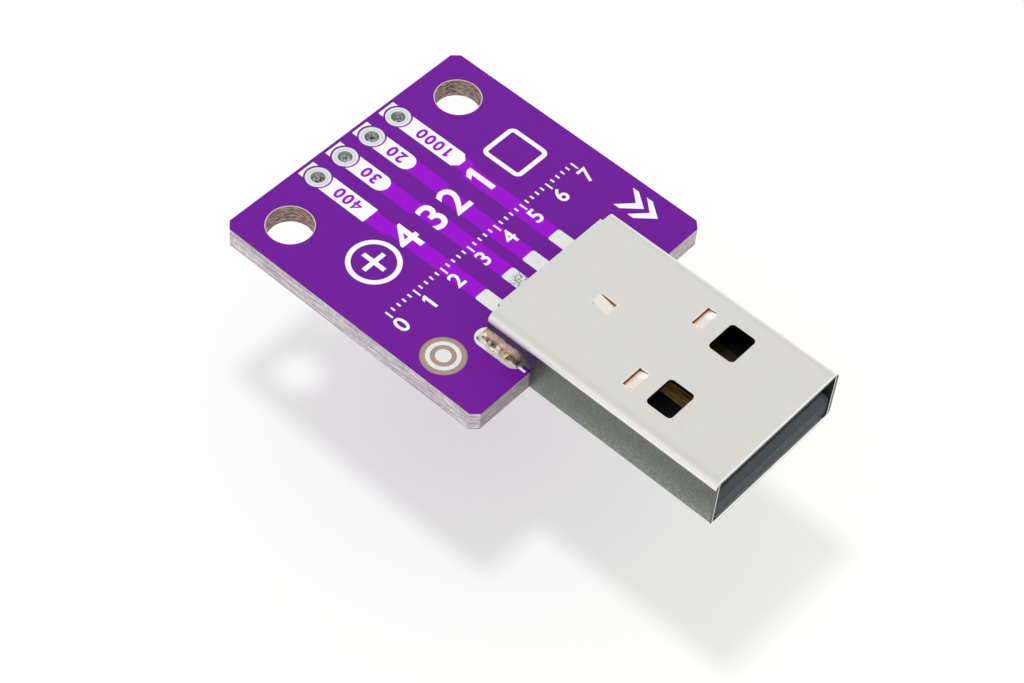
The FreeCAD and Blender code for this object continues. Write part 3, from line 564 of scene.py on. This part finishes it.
def soldered_wall(graph, plug, board, place, base):
    """Solder and flux that have climbed the walls beside the slots, and a painted shadow band above
    them.
    """
    x, y, z = graph.split(place)
    rough = graph.product(graph.noise(place, 2.2, 3.0), 0.9)
    beside = graph.rise(graph.math("ABSOLUTE", y), SHELL_HIGH.y - 0.06, SHELL_HIGH.y - 0.03)
    ahead = graph.rise(graph.math("ADD", x, rough), SOLDER_FRONT + 0.5, SOLDER_FRONT)
    level = graph.math("ADD", z, rough)
    climbed = graph.product(graph.rise(level, SOLDER_TOP + 0.3, SOLDER_TOP), ahead, beside)
    blotch = graph.mottle(place, board.cream, size=0.22, amount=0.4)
    burnt = graph.spots(place, size=0.3, cover=0.4, shift=(8, 3, 1))
    coat = graph.mix(graph.math("ADD", 0.2, graph.product(burnt, 0.4)), blotch, board.flux)
    shadow = graph.band(z, centre=SHADOW_Z, width=SHADOW_WIDTH, softness=0.16)
    band = graph.product(shadow, graph.rise(x, SHADOW_FRONT + 2.0, SHADOW_FRONT), beside)
    shaded = graph.mix(graph.product(band, 0.8), base, plug.band)
    return graph.mix(climbed, shaded, coat)


def steel_finish(plug, board):
    finish, graph, shader, place = new_finish("nickelled_sheet", Metallic=0.85)
    x, y, z = graph.split(place)
    side = graph.math("ABSOLUTE", y)
    sheet, height, reach = sheet_colour(graph, plug, place)
    outer = soldered_wall(graph, plug, board, place, sheet)
    under = graph.rise(z, SHELL_HIGH.z - 0.01, SHELL_HIGH.z - 0.04)
    above = graph.rise(z, SHELL_HIGH.z - 0.34, SHELL_HIGH.z - 0.3)
    lances = (
        (side, STOP, STOP_HALF, graph.rise(x, STOP_END + 0.06, STOP_END)),
        (y, CATCH, CATCH_HALF, graph.rise(y, CATCH_END - 0.08, CATCH_END)))
    for across, centre, half, free in lances:
        away = graph.beyond(x, across, centre, half)
        rough = graph.math("ADD", away, graph.product(graph.noise(place, 5.0), 0.12))
        # Painted highlight round each small tongue.
        rim = graph.product(graph.rise(rough, 0.2, 0.08), above, 0.85)
        outer = graph.mix(rim, outer, plug.pressed)
        sheared = graph.product(graph.rise(away, 0.03, 0.0), under, above, free)
        outer = graph.mix(sheared, outer, plug.slit)
    # Painted highlight on the tops of the bumps.
    from_bump = graph.math("MINIMUM", *(graph.reach(place, bump) for bump in BUMPS))
    bumps = graph.rise(from_bump, BUMP_RADIUS, BUMP_TOP_RADIUS)
    outer = graph.mix(graph.product(bumps, above), outer, plug.lip)
    # Painted shadow: the cut walls of the windows are near black.
    window = graph.rise(graph.beyond(x, side, WINDOW, WINDOW_HALF), 0.03, 0.0)
    outer = graph.mix(graph.product(window, under), outer, plug.shade)
    # Painted shade on the inner faces of the shell.
    inside = graph.product(
        graph.rise(side, SHELL_HIGH.y - SHEET + 0.05, SHELL_HIGH.y - SHEET + 0.01),
        graph.rise(height, reach - SHEET + 0.01, reach - SHEET - 0.03))
    shaded_inside = graph.mix(inside, outer, plug.lining)
    mouth = graph.rise(x, SHELL_HIGH.x - 0.02, SHELL_HIGH.x - 0.005)
    # Painted highlights: bright lines on the cut faces at the mouth.
    inner_line = graph.band(side, centre=SHELL_HIGH.y - 0.28, width=0.07, softness=0.04)
    lower_line = graph.band(z, centre=SHELL_LOW.z + 0.17, width=0.26, softness=0.04)
    upper_line = graph.rise(z, SHELL_HIGH.z - 0.08, SHELL_HIGH.z - 0.05)
    lines = graph.math("MAXIMUM", inner_line, lower_line)
    edge = graph.mix(graph.math("MAXIMUM", lines, upper_line), plug.cut, plug.lip)
    graph.feed(shader["Base Color"], graph.mix(mouth, shaded_inside, edge))
    fine = graph.noise(place, 14.0, 4.0)
    folds = graph.product(
        graph.rise(height, reach - 0.6, reach - 0.5),
        graph.rise(side, SHELL_HIGH.y - 0.8, SHELL_HIGH.y - 0.55))
    gloss = graph.gloss(fine, 0.3, 0.42)
    graph.feed(shader["Roughness"], graph.math("ADD", gloss, graph.product(folds, 0.24)))
    graph.feed(shader["Normal"], graph.bump(fine, 0.003, 0.5))
    return finish


def insulator_finish(plug):
    finish, graph, shader, place = new_finish(
        "moulded_insulator", Roughness=0.5, Specular_IOR_Level=0.25)
    x = graph.split(place)["X"]
    cloudy = graph.mottle(place, plug.insulator, size=0.16, amount=0.5)
    # Painted light: the insulator is paler further back in the mouth.
    back = graph.rise(x, SHELL_HIGH.x - 0.5, SHELL_HIGH.x - 1.6)
    paler = graph.mix(back, cloudy, plug.insulator_worn)
    # Painted shadow deep in the mouth, under the windows.
    hidden = graph.rise(x, SHELL_HIGH.x - 2.3, SHELL_HIGH.x - 3.1)
    deep = graph.mix(hidden, paler, plug.shade)
    # Painted shade on the insulator's front face.
    end = graph.rise(x, SHELL_HIGH.x - 0.13, SHELL_HIGH.x - 0.11)
    dusty = graph.noise(place, 4.0, 4.0)
    graph.feed(shader["Base Color"], graph.mix(end, deep, plug.insulator_end))
    graph.feed(shader["Roughness"], graph.gloss(dusty, 0.42, 0.6))
    graph.feed(shader["Normal"], graph.bump(graph.noise(place, 20.0), 0.006, 0.5))
    return finish


def contact_finish(plug):
    finish, graph, shader, place = new_finish("drawn_contact", Metallic=0.35)
    y = graph.split(place)["Y"]
    drawn = graph.group(
        "Streaks", place=place, stretch=(0.5, 13.0, 13.0), dark=plug.contact_dark,
        pale=plug.contact_pale, contrast=3.4)
    # Painted shadow on the outer contacts.
    outer = graph.rise(graph.math("ABSOLUTE", y), 2.0, 2.6, 0.0, 0.92)
    graph.feed(shader["Base Color"], graph.mix(outer, drawn["Colour"], plug.shade))
    graph.feed(shader["Roughness"], graph.rise(drawn["Height"], 0.0, 1.0, 0.45, 0.25))
    graph.feed(shader["Normal"], graph.bump(drawn["Height"], 0.01, 0.5))
    return finish


def solder_finish(board):
    finish, graph, shader, place = new_finish("hand_solder", Metallic=0.6)
    x, y, _ = graph.split(place)
    coat = graph.mottle(place, board.cream, size=0.2, amount=0.35)
    bright = graph.spots(place, size=0.35, cover=0.5, shift=(5, 5, 5))
    bare = graph.mix(bright, coat, board.solder)
    brown = graph.spots(place, size=0.42, cover=0.42, shift=(9, 4, 2))
    fluxed = graph.mix(graph.product(brown, 0.8), bare, board.flux)
    dark = graph.spots(place, size=0.3, cover=0.34, shift=(3, 1, 5))
    for centre, half in SOLDER_SHADOWS:
        away = graph.beyond(x, graph.math("ABSOLUTE", y), centre, half)
        ragged = graph.product(graph.math("SUBTRACT", graph.noise(place, 6.0), 0.5), 0.2)
        edge = graph.math("ADD", away, ragged)
        dark = graph.math("MAXIMUM", dark, graph.rise(edge, 0.03, -0.03))
    graph.feed(shader["Base Color"], graph.mix(graph.product(dark, 0.9), fluxed, board.tin_dark))
    clouds = graph.noise(place, 4.0, 4.0)
    graph.feed(shader["Roughness"], graph.gloss(clouds, 0.12, 0.4))
    graph.feed(shader["Normal"], graph.bump(clouds, 0.05, 0.6))
    return finish


def ink_finish(ink):
    finish, graph, shader, place = new_finish("printed_ink", Roughness=0.6)
    cloudy = graph.group("Mottle", place=place, colour=ink, size=0.12, amount=0.03)
    graph.feed(shader["Base Color"], cloudy["Colour"])
    graph.feed(shader["Normal"], graph.bump(cloudy["Height"], 0.01, 0.5))
    return finish


# Meshes

def added(name, data):
    """A new object in the scene."""
    thing = bpy.data.objects.new(name, data)
    bpy.context.scene.collection.objects.link(thing)
    return thing


def finished(mesh, name, finish):
    """Puts a mesh that is in millimetres into the scene as a piece of the board."""
    mesh.transform(Matrix.Scale(MM, 4))
    mesh.name = name
    mesh.materials.clear()
    mesh.materials.append(finish)
    piece = added(name, mesh)
    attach(piece, "root")
    return piece


def evaluated_mesh(source):
    """The plain mesh of an object with its modifiers worked out. The object is removed."""
    bpy.context.view_layer.update()
    graph = bpy.context.evaluated_depsgraph_get()
    mesh = bpy.data.meshes.new_from_object(source.evaluated_get(graph))
    bpy.data.objects.remove(source)
    return mesh


def cleaned(mesh, distance):
    """Merges doubled corners and turns the faces outwards."""
    work = bmesh.new()
    work.from_mesh(mesh)
    bmesh.ops.remove_doubles(work, verts=work.verts, dist=distance)
    bmesh.ops.recalc_face_normals(work, faces=work.faces)
    work.to_mesh(mesh)
    work.free()
    return mesh


def pairs(items):
    """Each item with the next one, and the last with the first."""
    return zip(items, [*items[1:], items[0]])


def between(x, y, outlines):
    """Whether a point lies inside an odd number of outlines."""
    sides = (side for outline in outlines for side in pairs(outline))
    return sum(
        (p[1] > y) != (q[1] > y) and x < p[0] + (q[0] - p[0]) * (y - p[1]) / (q[1] - p[1])
        for p, q in sides) % 2 == 1


def flat_mesh(outlines, low, high):
    """A plate between two heights, filled between nested outlines."""
    points, edges = [], []
    for outline in outlines:
        first, count = len(points), len(outline)
        points += [Vector(point) for point in outline]
        edges += [(first + i, first + (i + 1) % count) for i in range(count)]
    corners, _, faces, *_ = delaunay_2d_cdt(points, edges, [], TRIANGLES_INSIDE, TOUCHING)
    faces = [face for face in faces
             if between(*(sum((corners[i] for i in face), Vector((0, 0))) / 3), outlines)]
    work = bmesh.new()
    lower, upper = (
        [work.verts.new((*corner, level)) for corner in corners] for level in (low, high))
    sides = {side for face in faces for side in pairs(face)}
    for face in faces:
        work.faces.new([upper[i] for i in face])
        work.faces.new([lower[i] for i in reversed(face)])
    for a, b in sides:
        if (b, a) not in sides:
            work.faces.new((upper[b], upper[a], lower[a], lower[b]))
    mesh = bpy.data.meshes.new("plate")
    work.to_mesh(mesh)
    work.free()
    return mesh


def area(outline):
    """Signed area inside an outline."""
    return sum(p.x * q.y - q.x * p.y for p, q in pairs(outline)) / 2


def bend(corners, index):
    """How sharply an outline turns at a corner, from 0 for straight on to 1 for square."""
    before, here = corners[index - 1], corners[index]
    after = corners[(index + 1) % len(corners)]
    return abs((here - before).normalized().cross((after - here).normalized()))


def simple(outline, least):
    """Leaves out straight corners, and the flatter end of each side that is shorter than least."""
    corners = list(outline)
    for index in reversed(range(len(corners))):
        if bend(corners, index) < STRAIGHT:
            del corners[index]
    while True:
        lengths = [(corners[i] - corners[i - 1]).length for i in range(len(corners))]
        index = lengths.index(min(lengths))
        if lengths[index] > least:
            return corners
        del corners[index if bend(corners, index) < bend(corners, index - 1) else index - 1]


def uncrossed(corners):
    """Cuts off each small loop where two sides that are one apart cross."""
    index = 0
    while len(corners) > 3 and index < len(corners):
        first, second, third, fourth = (corners[(index + i) % len(corners)] for i in range(4))
        crossing = intersect_line_line_2d(first, second, third, fourth)
        if crossing:
            corners[(index + 1) % len(corners)] = crossing
            del corners[(index + 2) % len(corners)]
        index += 1
    return corners


def heavier(outline, weight):
    """An outline whose every side is moved out of the ink, or out of a counter into it."""
    corners = simple(outline, max(1.2 * weight, SHORTEST_SIDE))
    sides = [(q - p).normalized() for p, q in pairs(corners)]
    moved = []
    for corner, before, after in zip(corners, [sides[-1], *sides[:-1]], sides):
        normal = Vector((before.y + after.y, -before.x - after.x))
        share = max(1.0 + before.dot(after), SHARPEST)
        moved.append(corner + normal * (weight / share))
    return uncrossed([p for (p, q), side in zip(pairs(moved), sides) if (q - p).dot(side) > 0.0])


def with_flag(left, top):
    """The outline of a one with a flag, for the font's own one is a plain bar."""
    flag = ((left + x, top.y + y) for x, y in FLAG)
    return [Vector(corner) for corner in ((top.x, top.y), *flag, (left, 0.0), (top.x, 0.0))]


def lettering(text, height, weight):
    """Outlines of numbers, centred, tops towards +Y, thickened by weight on each side."""
    words = bpy.data.curves.new("words", "FONT")
    words.body = text
    words.space_character = NUMBER_SPACING
    source = added("words", words)
    bpy.context.view_layer.update()
    graph = bpy.context.evaluated_depsgraph_get()
    curve = source.evaluated_get(graph).to_curve(graph)
    outlines = []
    for spline in curve.splines:
        knots = spline.bezier_points
        outline = []
        for first, second in pairs(knots):
            step = interpolate_bezier(
                first.co, first.handle_right, second.handle_left, second.co, CURVE_STEPS)
            outline += [Vector((point.x, point.y)) for point in step[:-1]]
        plain_bar = len(knots) == 4 and knots[0].co.y - knots[2].co.y > BAR_HEIGHT
        outlines.append(with_flag(knots[1].co.x, knots[0].co) if plain_bar else outline)
    source.evaluated_get(graph).to_curve_clear()
    bpy.data.objects.remove(source)
    xs, ys = zip(*(point for outline in outlines for point in outline))
    scale = (height - 2 * weight) / (max(ys) - min(ys))
    middle = Vector(((max(xs) + min(xs)) / 2, (max(ys) + min(ys)) / 2))
    centred = [[(point - middle) * scale for point in outline] for outline in outlines]
    result = []
    for outline in centred:
        thick = heavier(outline, weight)
        open_enough = area(thick) / area(outline) > OPEN_SHARE
        result.append([tuple(p) for p in (thick if open_enough else heavier(outline, 0.0))])
    return result


def turned(outlines, centre, degrees):
    """Outlines turned about the origin and then moved to centre."""
    angle = math.radians(degrees)
    c, s = math.cos(angle), math.sin(angle)
    return [[(centre[0] + c * x - s * y, centre[1] + s * x + c * y) for x, y in outline]
            for outline in outlines]


def arc(centre, radius, start, end, steps=16):
    """Points on an arc, angles in degrees."""
    angles = (math.radians(start + (end - start) * i / steps) for i in range(steps + 1))
    return [(centre[0] + radius * math.cos(a), centre[1] + radius * math.sin(a)) for a in angles]


def stroke(start, end, width, steps=6):
    """A straight stroke with round ends."""
    along = math.degrees(math.atan2(end[1] - start[1], end[0] - start[0]))
    return (arc(end, width / 2, along - 90, along + 90, steps)
            + arc(start, width / 2, along + 90, along + 270, steps))


def rounded(centre, half, radius):
    """A rectangle with round corners, whose centres lie at half from its middle."""
    outline = []
    for start, x, y in ((0, 1, 1), (90, -1, 1), (180, -1, -1), (270, 1, -1)):
        corner = (centre[0] + x * half[0], centre[1] + y * half[1])
        outline += arc(corner, radius, start, start + 90, 6)
    return outline


def printed(name, outlines, context):
    """A printed piece on top of the board."""
    ink = context.scene.breakout_print
    mesh = flat_mesh(outlines, BOARD_TOP - SINK, BOARD_TOP + ink.thickness / MM)
    return finished(mesh, name, bpy.data.materials["printed_ink"])


# Operators

class BoardOperator(bpy.types.Operator):
    """Finishes of the board, its mask, copper and fiducial mark"""

    bl_idname = "breakout.board"
    bl_label = "Board Finishes"

    def execute(self, context):
        board = context.scene.breakout_board
        make_effects()
        wear(laminate_finish(board), "laminate")
        wear(mask_finish(board), "solder_mask_top", "solder_mask_bottom")
        wear(
            tin_finish(board), "slot_lining_far", "slot_lining_near", "fiducial_ring",
            "fiducial_dot", *(f"copper_{net}" for net in NETS))
        return {"FINISHED"}


class PlugOperator(bpy.types.Operator):
    """Finishes of the plug's shell, insulator and contacts"""

    bl_idname = "breakout.plug"
    bl_label = "Plug Finishes"

    def execute(self, context):
        plug = context.scene.breakout_plug
        wear(steel_finish(plug, context.scene.breakout_board), "plug_shell")
        wear(insulator_finish(plug), "plug_insulator")
        wear(contact_finish(plug), *(f"contact_{net}" for net in NETS))
        return {"FINISHED"}


def melted(node, name, finish, voxel, depth):
    """A lumpy copy of a solder node that stays inside the node's own box, and stands for it."""
    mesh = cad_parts[node].data.copy()
    mesh.transform(Matrix.Scale(1 / MM, 4))
    source = added("lump", cleaned(mesh, distance=0.002))
    remesh = source.modifiers.new("Remesh", "REMESH")
    remesh.mode = "VOXEL"
    remesh.voxel_size = voxel
    smooth = source.modifiers.new("Smooth", "SMOOTH")
    smooth.iterations = 4
    lump = evaluated_mesh(source)
    normals = [normal.vector.copy() for normal in lump.vertex_normals]
    for vertex, normal in zip(lump.vertices, normals):
        swell = LUMP_BIAS + noise.fractal(
            vertex.co * LUMPS_PER_MM, LUMP_DIMENSION, LUMP_LACUNARITY, LUMP_OCTAVES)
        vertex.co -= normal * depth * min(max(swell, 0.0), 1.0)
    lump.polygons.foreach_set("use_smooth", [True] * len(lump.polygons))
    piece = finished(lump, name, finish)
    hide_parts(node)
    return piece


class SolderOperator(bpy.types.Operator):
    """Solder that has flowed round the plug's legs and tails"""

    bl_idname = "breakout.solder"
    bl_label = "Solder"

    def execute(self, context):
        finish = solder_finish(context.scene.breakout_board)
        for net in NETS:
            melted(f"tail_solder_{net}", f"tail_bead_{net}", finish, voxel=0.022, depth=0.02)
        for end in ("far", "near"):
            melted(f"leg_solder_{end}", f"leg_fillet_{end}", finish, voxel=0.04, depth=0.16)
        return {"FINISHED"}


class LabelOperator(bpy.types.Operator):
    """Label fields behind and ahead of the header pads, with numbers left open in them"""

    bl_idname = "breakout.labels"
    bl_label = "Label Fields"

    def execute(self, context):
        ink = context.scene.breakout_print
        ink_finish(ink.ink)
        half = ink.field_width / MM / 2
        gap = ink.field_gap / MM
        open_angle = math.degrees(math.asin(half / gap))
        for net, y in zip(NETS, HEADER_Y):
            length, words = FIELDS[net]
            centre = (HEADER_X, y)
            end = HEADER_X + length
            back = arc(centre, gap, open_angle, -open_angle)
            if net == "power":
                tip = [(end - FIELD_BEVEL, y - half), (end, y - half + FIELD_BEVEL),
                       (end, y + half - FIELD_BEVEL), (end - FIELD_BEVEL, y + half)]
            elif net == "ground":
                tip = [(end, y - half), (end, y + half)]
            else:
                tip = arc((end - half, y), half, -90, 90)
            rear = (arc(centre, gap, 180 + open_angle, 180 - open_angle)
                    + [(FIELD_REAR, y + half), (FIELD_REAR, y - half)])
            middle = ((HEADER_X + gap + end) / 2 - LABEL_SHIFT, y)
            words = turned(lettering(words, ink.label_height / MM, LABEL_WEIGHT), middle, 180)
            printed(f"label_{net}", [back + tip, rear, *words], context)
        return {"FINISHED"}


class NumeralOperator(bpy.types.Operator):
    """Line numbers over the traces"""

    bl_idname = "breakout.numerals"
    bl_label = "Line Numbers"

    def execute(self, context):
        height = context.scene.breakout_print.numeral_height / MM
        outlines = []
        for word, y in zip("1234", PAD_Y):
            outlines += turned(lettering(word, height, NUMERAL_WEIGHT), (NUMERAL_X, y), 90)
        printed("line_numbers", outlines, context)
        return {"FINISHED"}


class MarkOperator(bpy.types.Operator):
    """Plain marks: a crosshair, a write-on frame, a direction mark and a dash"""

    bl_idname = "breakout.marks"
    bl_label = "Marks"

    def execute(self, context):
        rings = [arc(CROSSHAIR, radius, 0, 360, 64)[:-1] for radius in CROSSHAIR_RADII]
        arm, half = CROSSHAIR_ARM, CROSSHAIR_HALF
        quarter = [(arm, -half), (arm, half), (half, half)]
        cross = []
        for degrees in (0, 90, 180, 270):
            cross += turned([quarter], CROSSHAIR, degrees)[0]
        printed("crosshair", [*rings, cross], context)
        write_on = [rounded(WRITE_ON, WRITE_ON_HALF, radius) for radius in WRITE_ON_RADII]
        printed("write_on_frame", write_on, context)
        marks = [[(x + shift, y) for x, y in CHEVRON] for shift in (0.0, CHEVRON_STEP)]
        printed("direction_mark", marks, context)
        printed("dash", [stroke(*DASH, DASH_WIDTH)], context)
        return {"FINISHED"}


def ruler_tree():
    """Geometry Nodes that set ticks in a row, every so many of them longer."""
    graph, take, give = new_group(
        "Ruler",
        {"Start": (PLACE, None), "Count": (COUNT, None), "Spacing": (VALUE, None),
         "Tick": (PLACE, None), "Parts": (COUNT, None), "Longer": (VALUE, None),
         "Material": ("NodeSocketMaterial", None)},
        {"Geometry": "NodeSocketGeometry"}, "GeometryNodeTree")
    step = graph.node("ShaderNodeCombineXYZ", {1: take["Spacing"]})
    row = graph.node(
        "GeometryNodeMeshLine",
        {"Count": take["Count"], "Start Location": take["Start"], "Offset": step})
    tick = graph.node("GeometryNodeMeshCube", {"Size": take["Tick"]})
    moved = graph.node(
        "GeometryNodeTransform",
        {"Geometry": tick, "Translation": graph.vector("MULTIPLY", take["Tick"], (0.5, 0.0, 0.0))})
    index = graph.node("GeometryNodeInputIndex", {})
    rest = graph.math("MODULO", index, take["Parts"])
    first = graph.math("LESS_THAN", rest, 0.5)
    stretch = graph.math("ADD", 1.0, graph.product(first, take["Longer"]))
    scale = graph.node("ShaderNodeCombineXYZ", {0: stretch, 1: 1.0, 2: 1.0})
    ticks = graph.node(
        "GeometryNodeInstanceOnPoints", {"Points": row, "Instance": moved, "Scale": scale})
    plain = graph.node("GeometryNodeRealizeInstances", {"Geometry": ticks})
    painted = graph.node(
        "GeometryNodeSetMaterial", {"Geometry": plain, "Material": take["Material"]})
    graph.feed(give["Geometry"], painted)
    return graph.tree


def grown(tree, values):
    """The mesh that a Geometry Nodes tree makes from named values."""
    source = added("seed", bpy.data.meshes.new("seed"))
    modifier = source.modifiers.new("Nodes", "NODES")
    modifier.node_group = tree
    for item in tree.interface.items_tree:
        if item.in_out == "INPUT":
            modifier[item.identifier] = values[item.name]
    return evaluated_mesh(source)


class RulerOperator(bpy.types.Operator):
    """A ruler across the board, with ticks grown by Geometry Nodes and plain numbers"""

    bl_idname = "breakout.ruler"
    bl_label = "Ruler"

    def execute(self, context):
        ink = context.scene.breakout_print
        finish = bpy.data.materials["printed_ink"]
        pitch = ink.ruler_pitch / MM
        thickness = ink.thickness / MM + SINK
        start = -(RULER_NUMBERS - 1) / 2 * pitch
        values = {
            "Start": (RULER_X, start, BOARD_TOP - SINK + thickness / 2),
            "Count": (RULER_NUMBERS - 1) * ink.ruler_parts + 1,
            "Spacing": pitch / ink.ruler_parts, "Tick": (*TICK, thickness),
            "Parts": ink.ruler_parts, "Longer": LONGER_BY, "Material": finish}
        ticks = cleaned(grown(ruler_tree(), values), distance=0.0001)
        finished(ticks, "ruler_ticks", finish)
        outlines = []
        for number in range(RULER_NUMBERS):
            words = lettering(str(number), ink.ruler_height / MM, RULER_WEIGHT)
            outlines += turned(words, (RULER_NUMBER_X, start + number * pitch), 90)
        printed("ruler_numbers", outlines, context)
        return {"FINISHED"}


class StudioOperator(bpy.types.Operator):
    """Plain pale floor, soft light and the camera"""

    bl_idname = "breakout.studio"
    bl_label = "Studio"

    def execute(self, context):
        studio = context.scene.breakout_studio
        scene = context.scene
        scene.view_settings.view_transform = "Standard"
        self.make_floor(studio)
        self.make_lamp(studio)
        self.make_room(scene, studio)
        self.make_camera(scene, studio)
        return {"FINISHED"}

    def make_floor(self, studio):
        half = FLOOR_HALF * MM
        mesh = bpy.data.meshes.new("floor")
        signs = ((-1, -1), (1, -1), (1, 1), (-1, 1))
        mesh.from_pydata([(x * half, y * half, -studio.drop) for x, y in signs], [], [(0, 1, 2, 3)])
        floor = added("floor", mesh)
        finish, graph, shader, place = new_finish(
            "pale_floor", Roughness=0.9, Specular_IOR_Level=0.0)
        tree = finish.node_tree
        behind = tree.nodes.new("ShaderNodeNewGeometry").outputs["Backfacing"]
        clear = tree.nodes.new("ShaderNodeBsdfTransparent").outputs[0]
        solid = tree.nodes["Principled BSDF"].outputs[0]
        either = graph.node("ShaderNodeMixShader", {0: behind, 1: solid, 2: clear})
        graph.feed(tree.nodes["Material Output"].inputs["Surface"], either)
        tone = graph.mottle(place, studio.floor, size=40.0, amount=0.01)
        graph.feed(shader["Base Color"], tone)
        graph.feed(shader["Emission Strength"], graph.product(graph.seen(), studio.glow))
        shader["Emission Color"].default_value = FLOOR_GLOW
        mesh.materials.append(finish)

    def make_lamp(self, studio):
        lamp = bpy.data.lights.new("overhead", "AREA")
        lamp.shape = "DISK"
        lamp.size = studio.key_width
        lamp.energy = studio.key
        key = added("overhead", lamp)
        key.location = Vector(LAMP) * MM
        towards = Vector(LAMP_AIM) * MM - key.location
        key.rotation_euler = towards.to_track_quat("-Z", "Y").to_euler()
        key.visible_glossy = False

    def make_room(self, scene, studio):
        world = bpy.data.worlds.new("soft_room")
        scene.world = world
        world.use_nodes = True
        graph = Graph(world.node_tree)
        backdrop = world.node_tree.nodes["Background"].inputs
        backdrop["Color"].default_value = WHITE
        graph.feed(backdrop["Strength"], graph.rise(graph.seen(), 0.0, 1.0, studio.fill, 1.0))

    def make_camera(self, scene, studio):
        data = bpy.data.cameras.new("camera")
        data.lens = studio.lens
        data.sensor_width = SENSOR
        data.clip_start = NEAREST * MM
        camera = added("camera", data)
        axes = (Vector(EYE_RIGHT), -Vector(EYE_DOWN), -Vector(EYE_FORWARD))
        turn = Matrix(axes).transposed().to_4x4()
        camera.matrix_world = Matrix.Translation(Vector(EYE) * MM) @ turn
        scene.camera = camera


class BreakoutPanel(bpy.types.Panel):
    """Lists the pieces in the order in which they are made"""

    bl_idname = "VIEW3D_PT_breakout"
    bl_label = "Plug Breakout Board"
    bl_space_type = "VIEW_3D"
    bl_region_type = "UI"
    bl_category = "Breakout"

    def draw(self, context):
        for operator in OPERATORS:
            self.layout.operator(operator.bl_idname)
        for name in SETTINGS:
            box = self.layout.box()
            group = getattr(context.scene, name)
            for key in group.bl_rna.properties.keys():
                if key not in ("rna_type", "name"):
                    box.prop(group, key)


SETTINGS = {"breakout_board": BoardSettings, "breakout_plug": PlugSettings,
            "breakout_print": PrintSettings, "breakout_studio": StudioSettings}
OPERATORS = (BoardOperator, PlugOperator, SolderOperator, LabelOperator, NumeralOperator,
             MarkOperator, RulerOperator, StudioOperator)
CLASSES = (*SETTINGS.values(), *OPERATORS, BreakoutPanel)


def register():
    for item in CLASSES:
        bpy.utils.register_class(item)
    for name, group in SETTINGS.items():
        setattr(bpy.types.Scene, name, PointerProperty(type=group))


def unregister():
    for name in SETTINGS:
        delattr(bpy.types.Scene, name)
    for item in reversed(CLASSES):
        bpy.utils.unregister_class(item)


def main():
    register()
    bpy.ops.breakout.board()
    bpy.ops.breakout.plug()
    bpy.ops.breakout.solder()
    bpy.ops.breakout.labels()
    bpy.ops.breakout.numerals()
    bpy.ops.breakout.marks()
    bpy.ops.breakout.ruler()
    bpy.ops.breakout.studio()


if __name__ == "__main__":
    main()
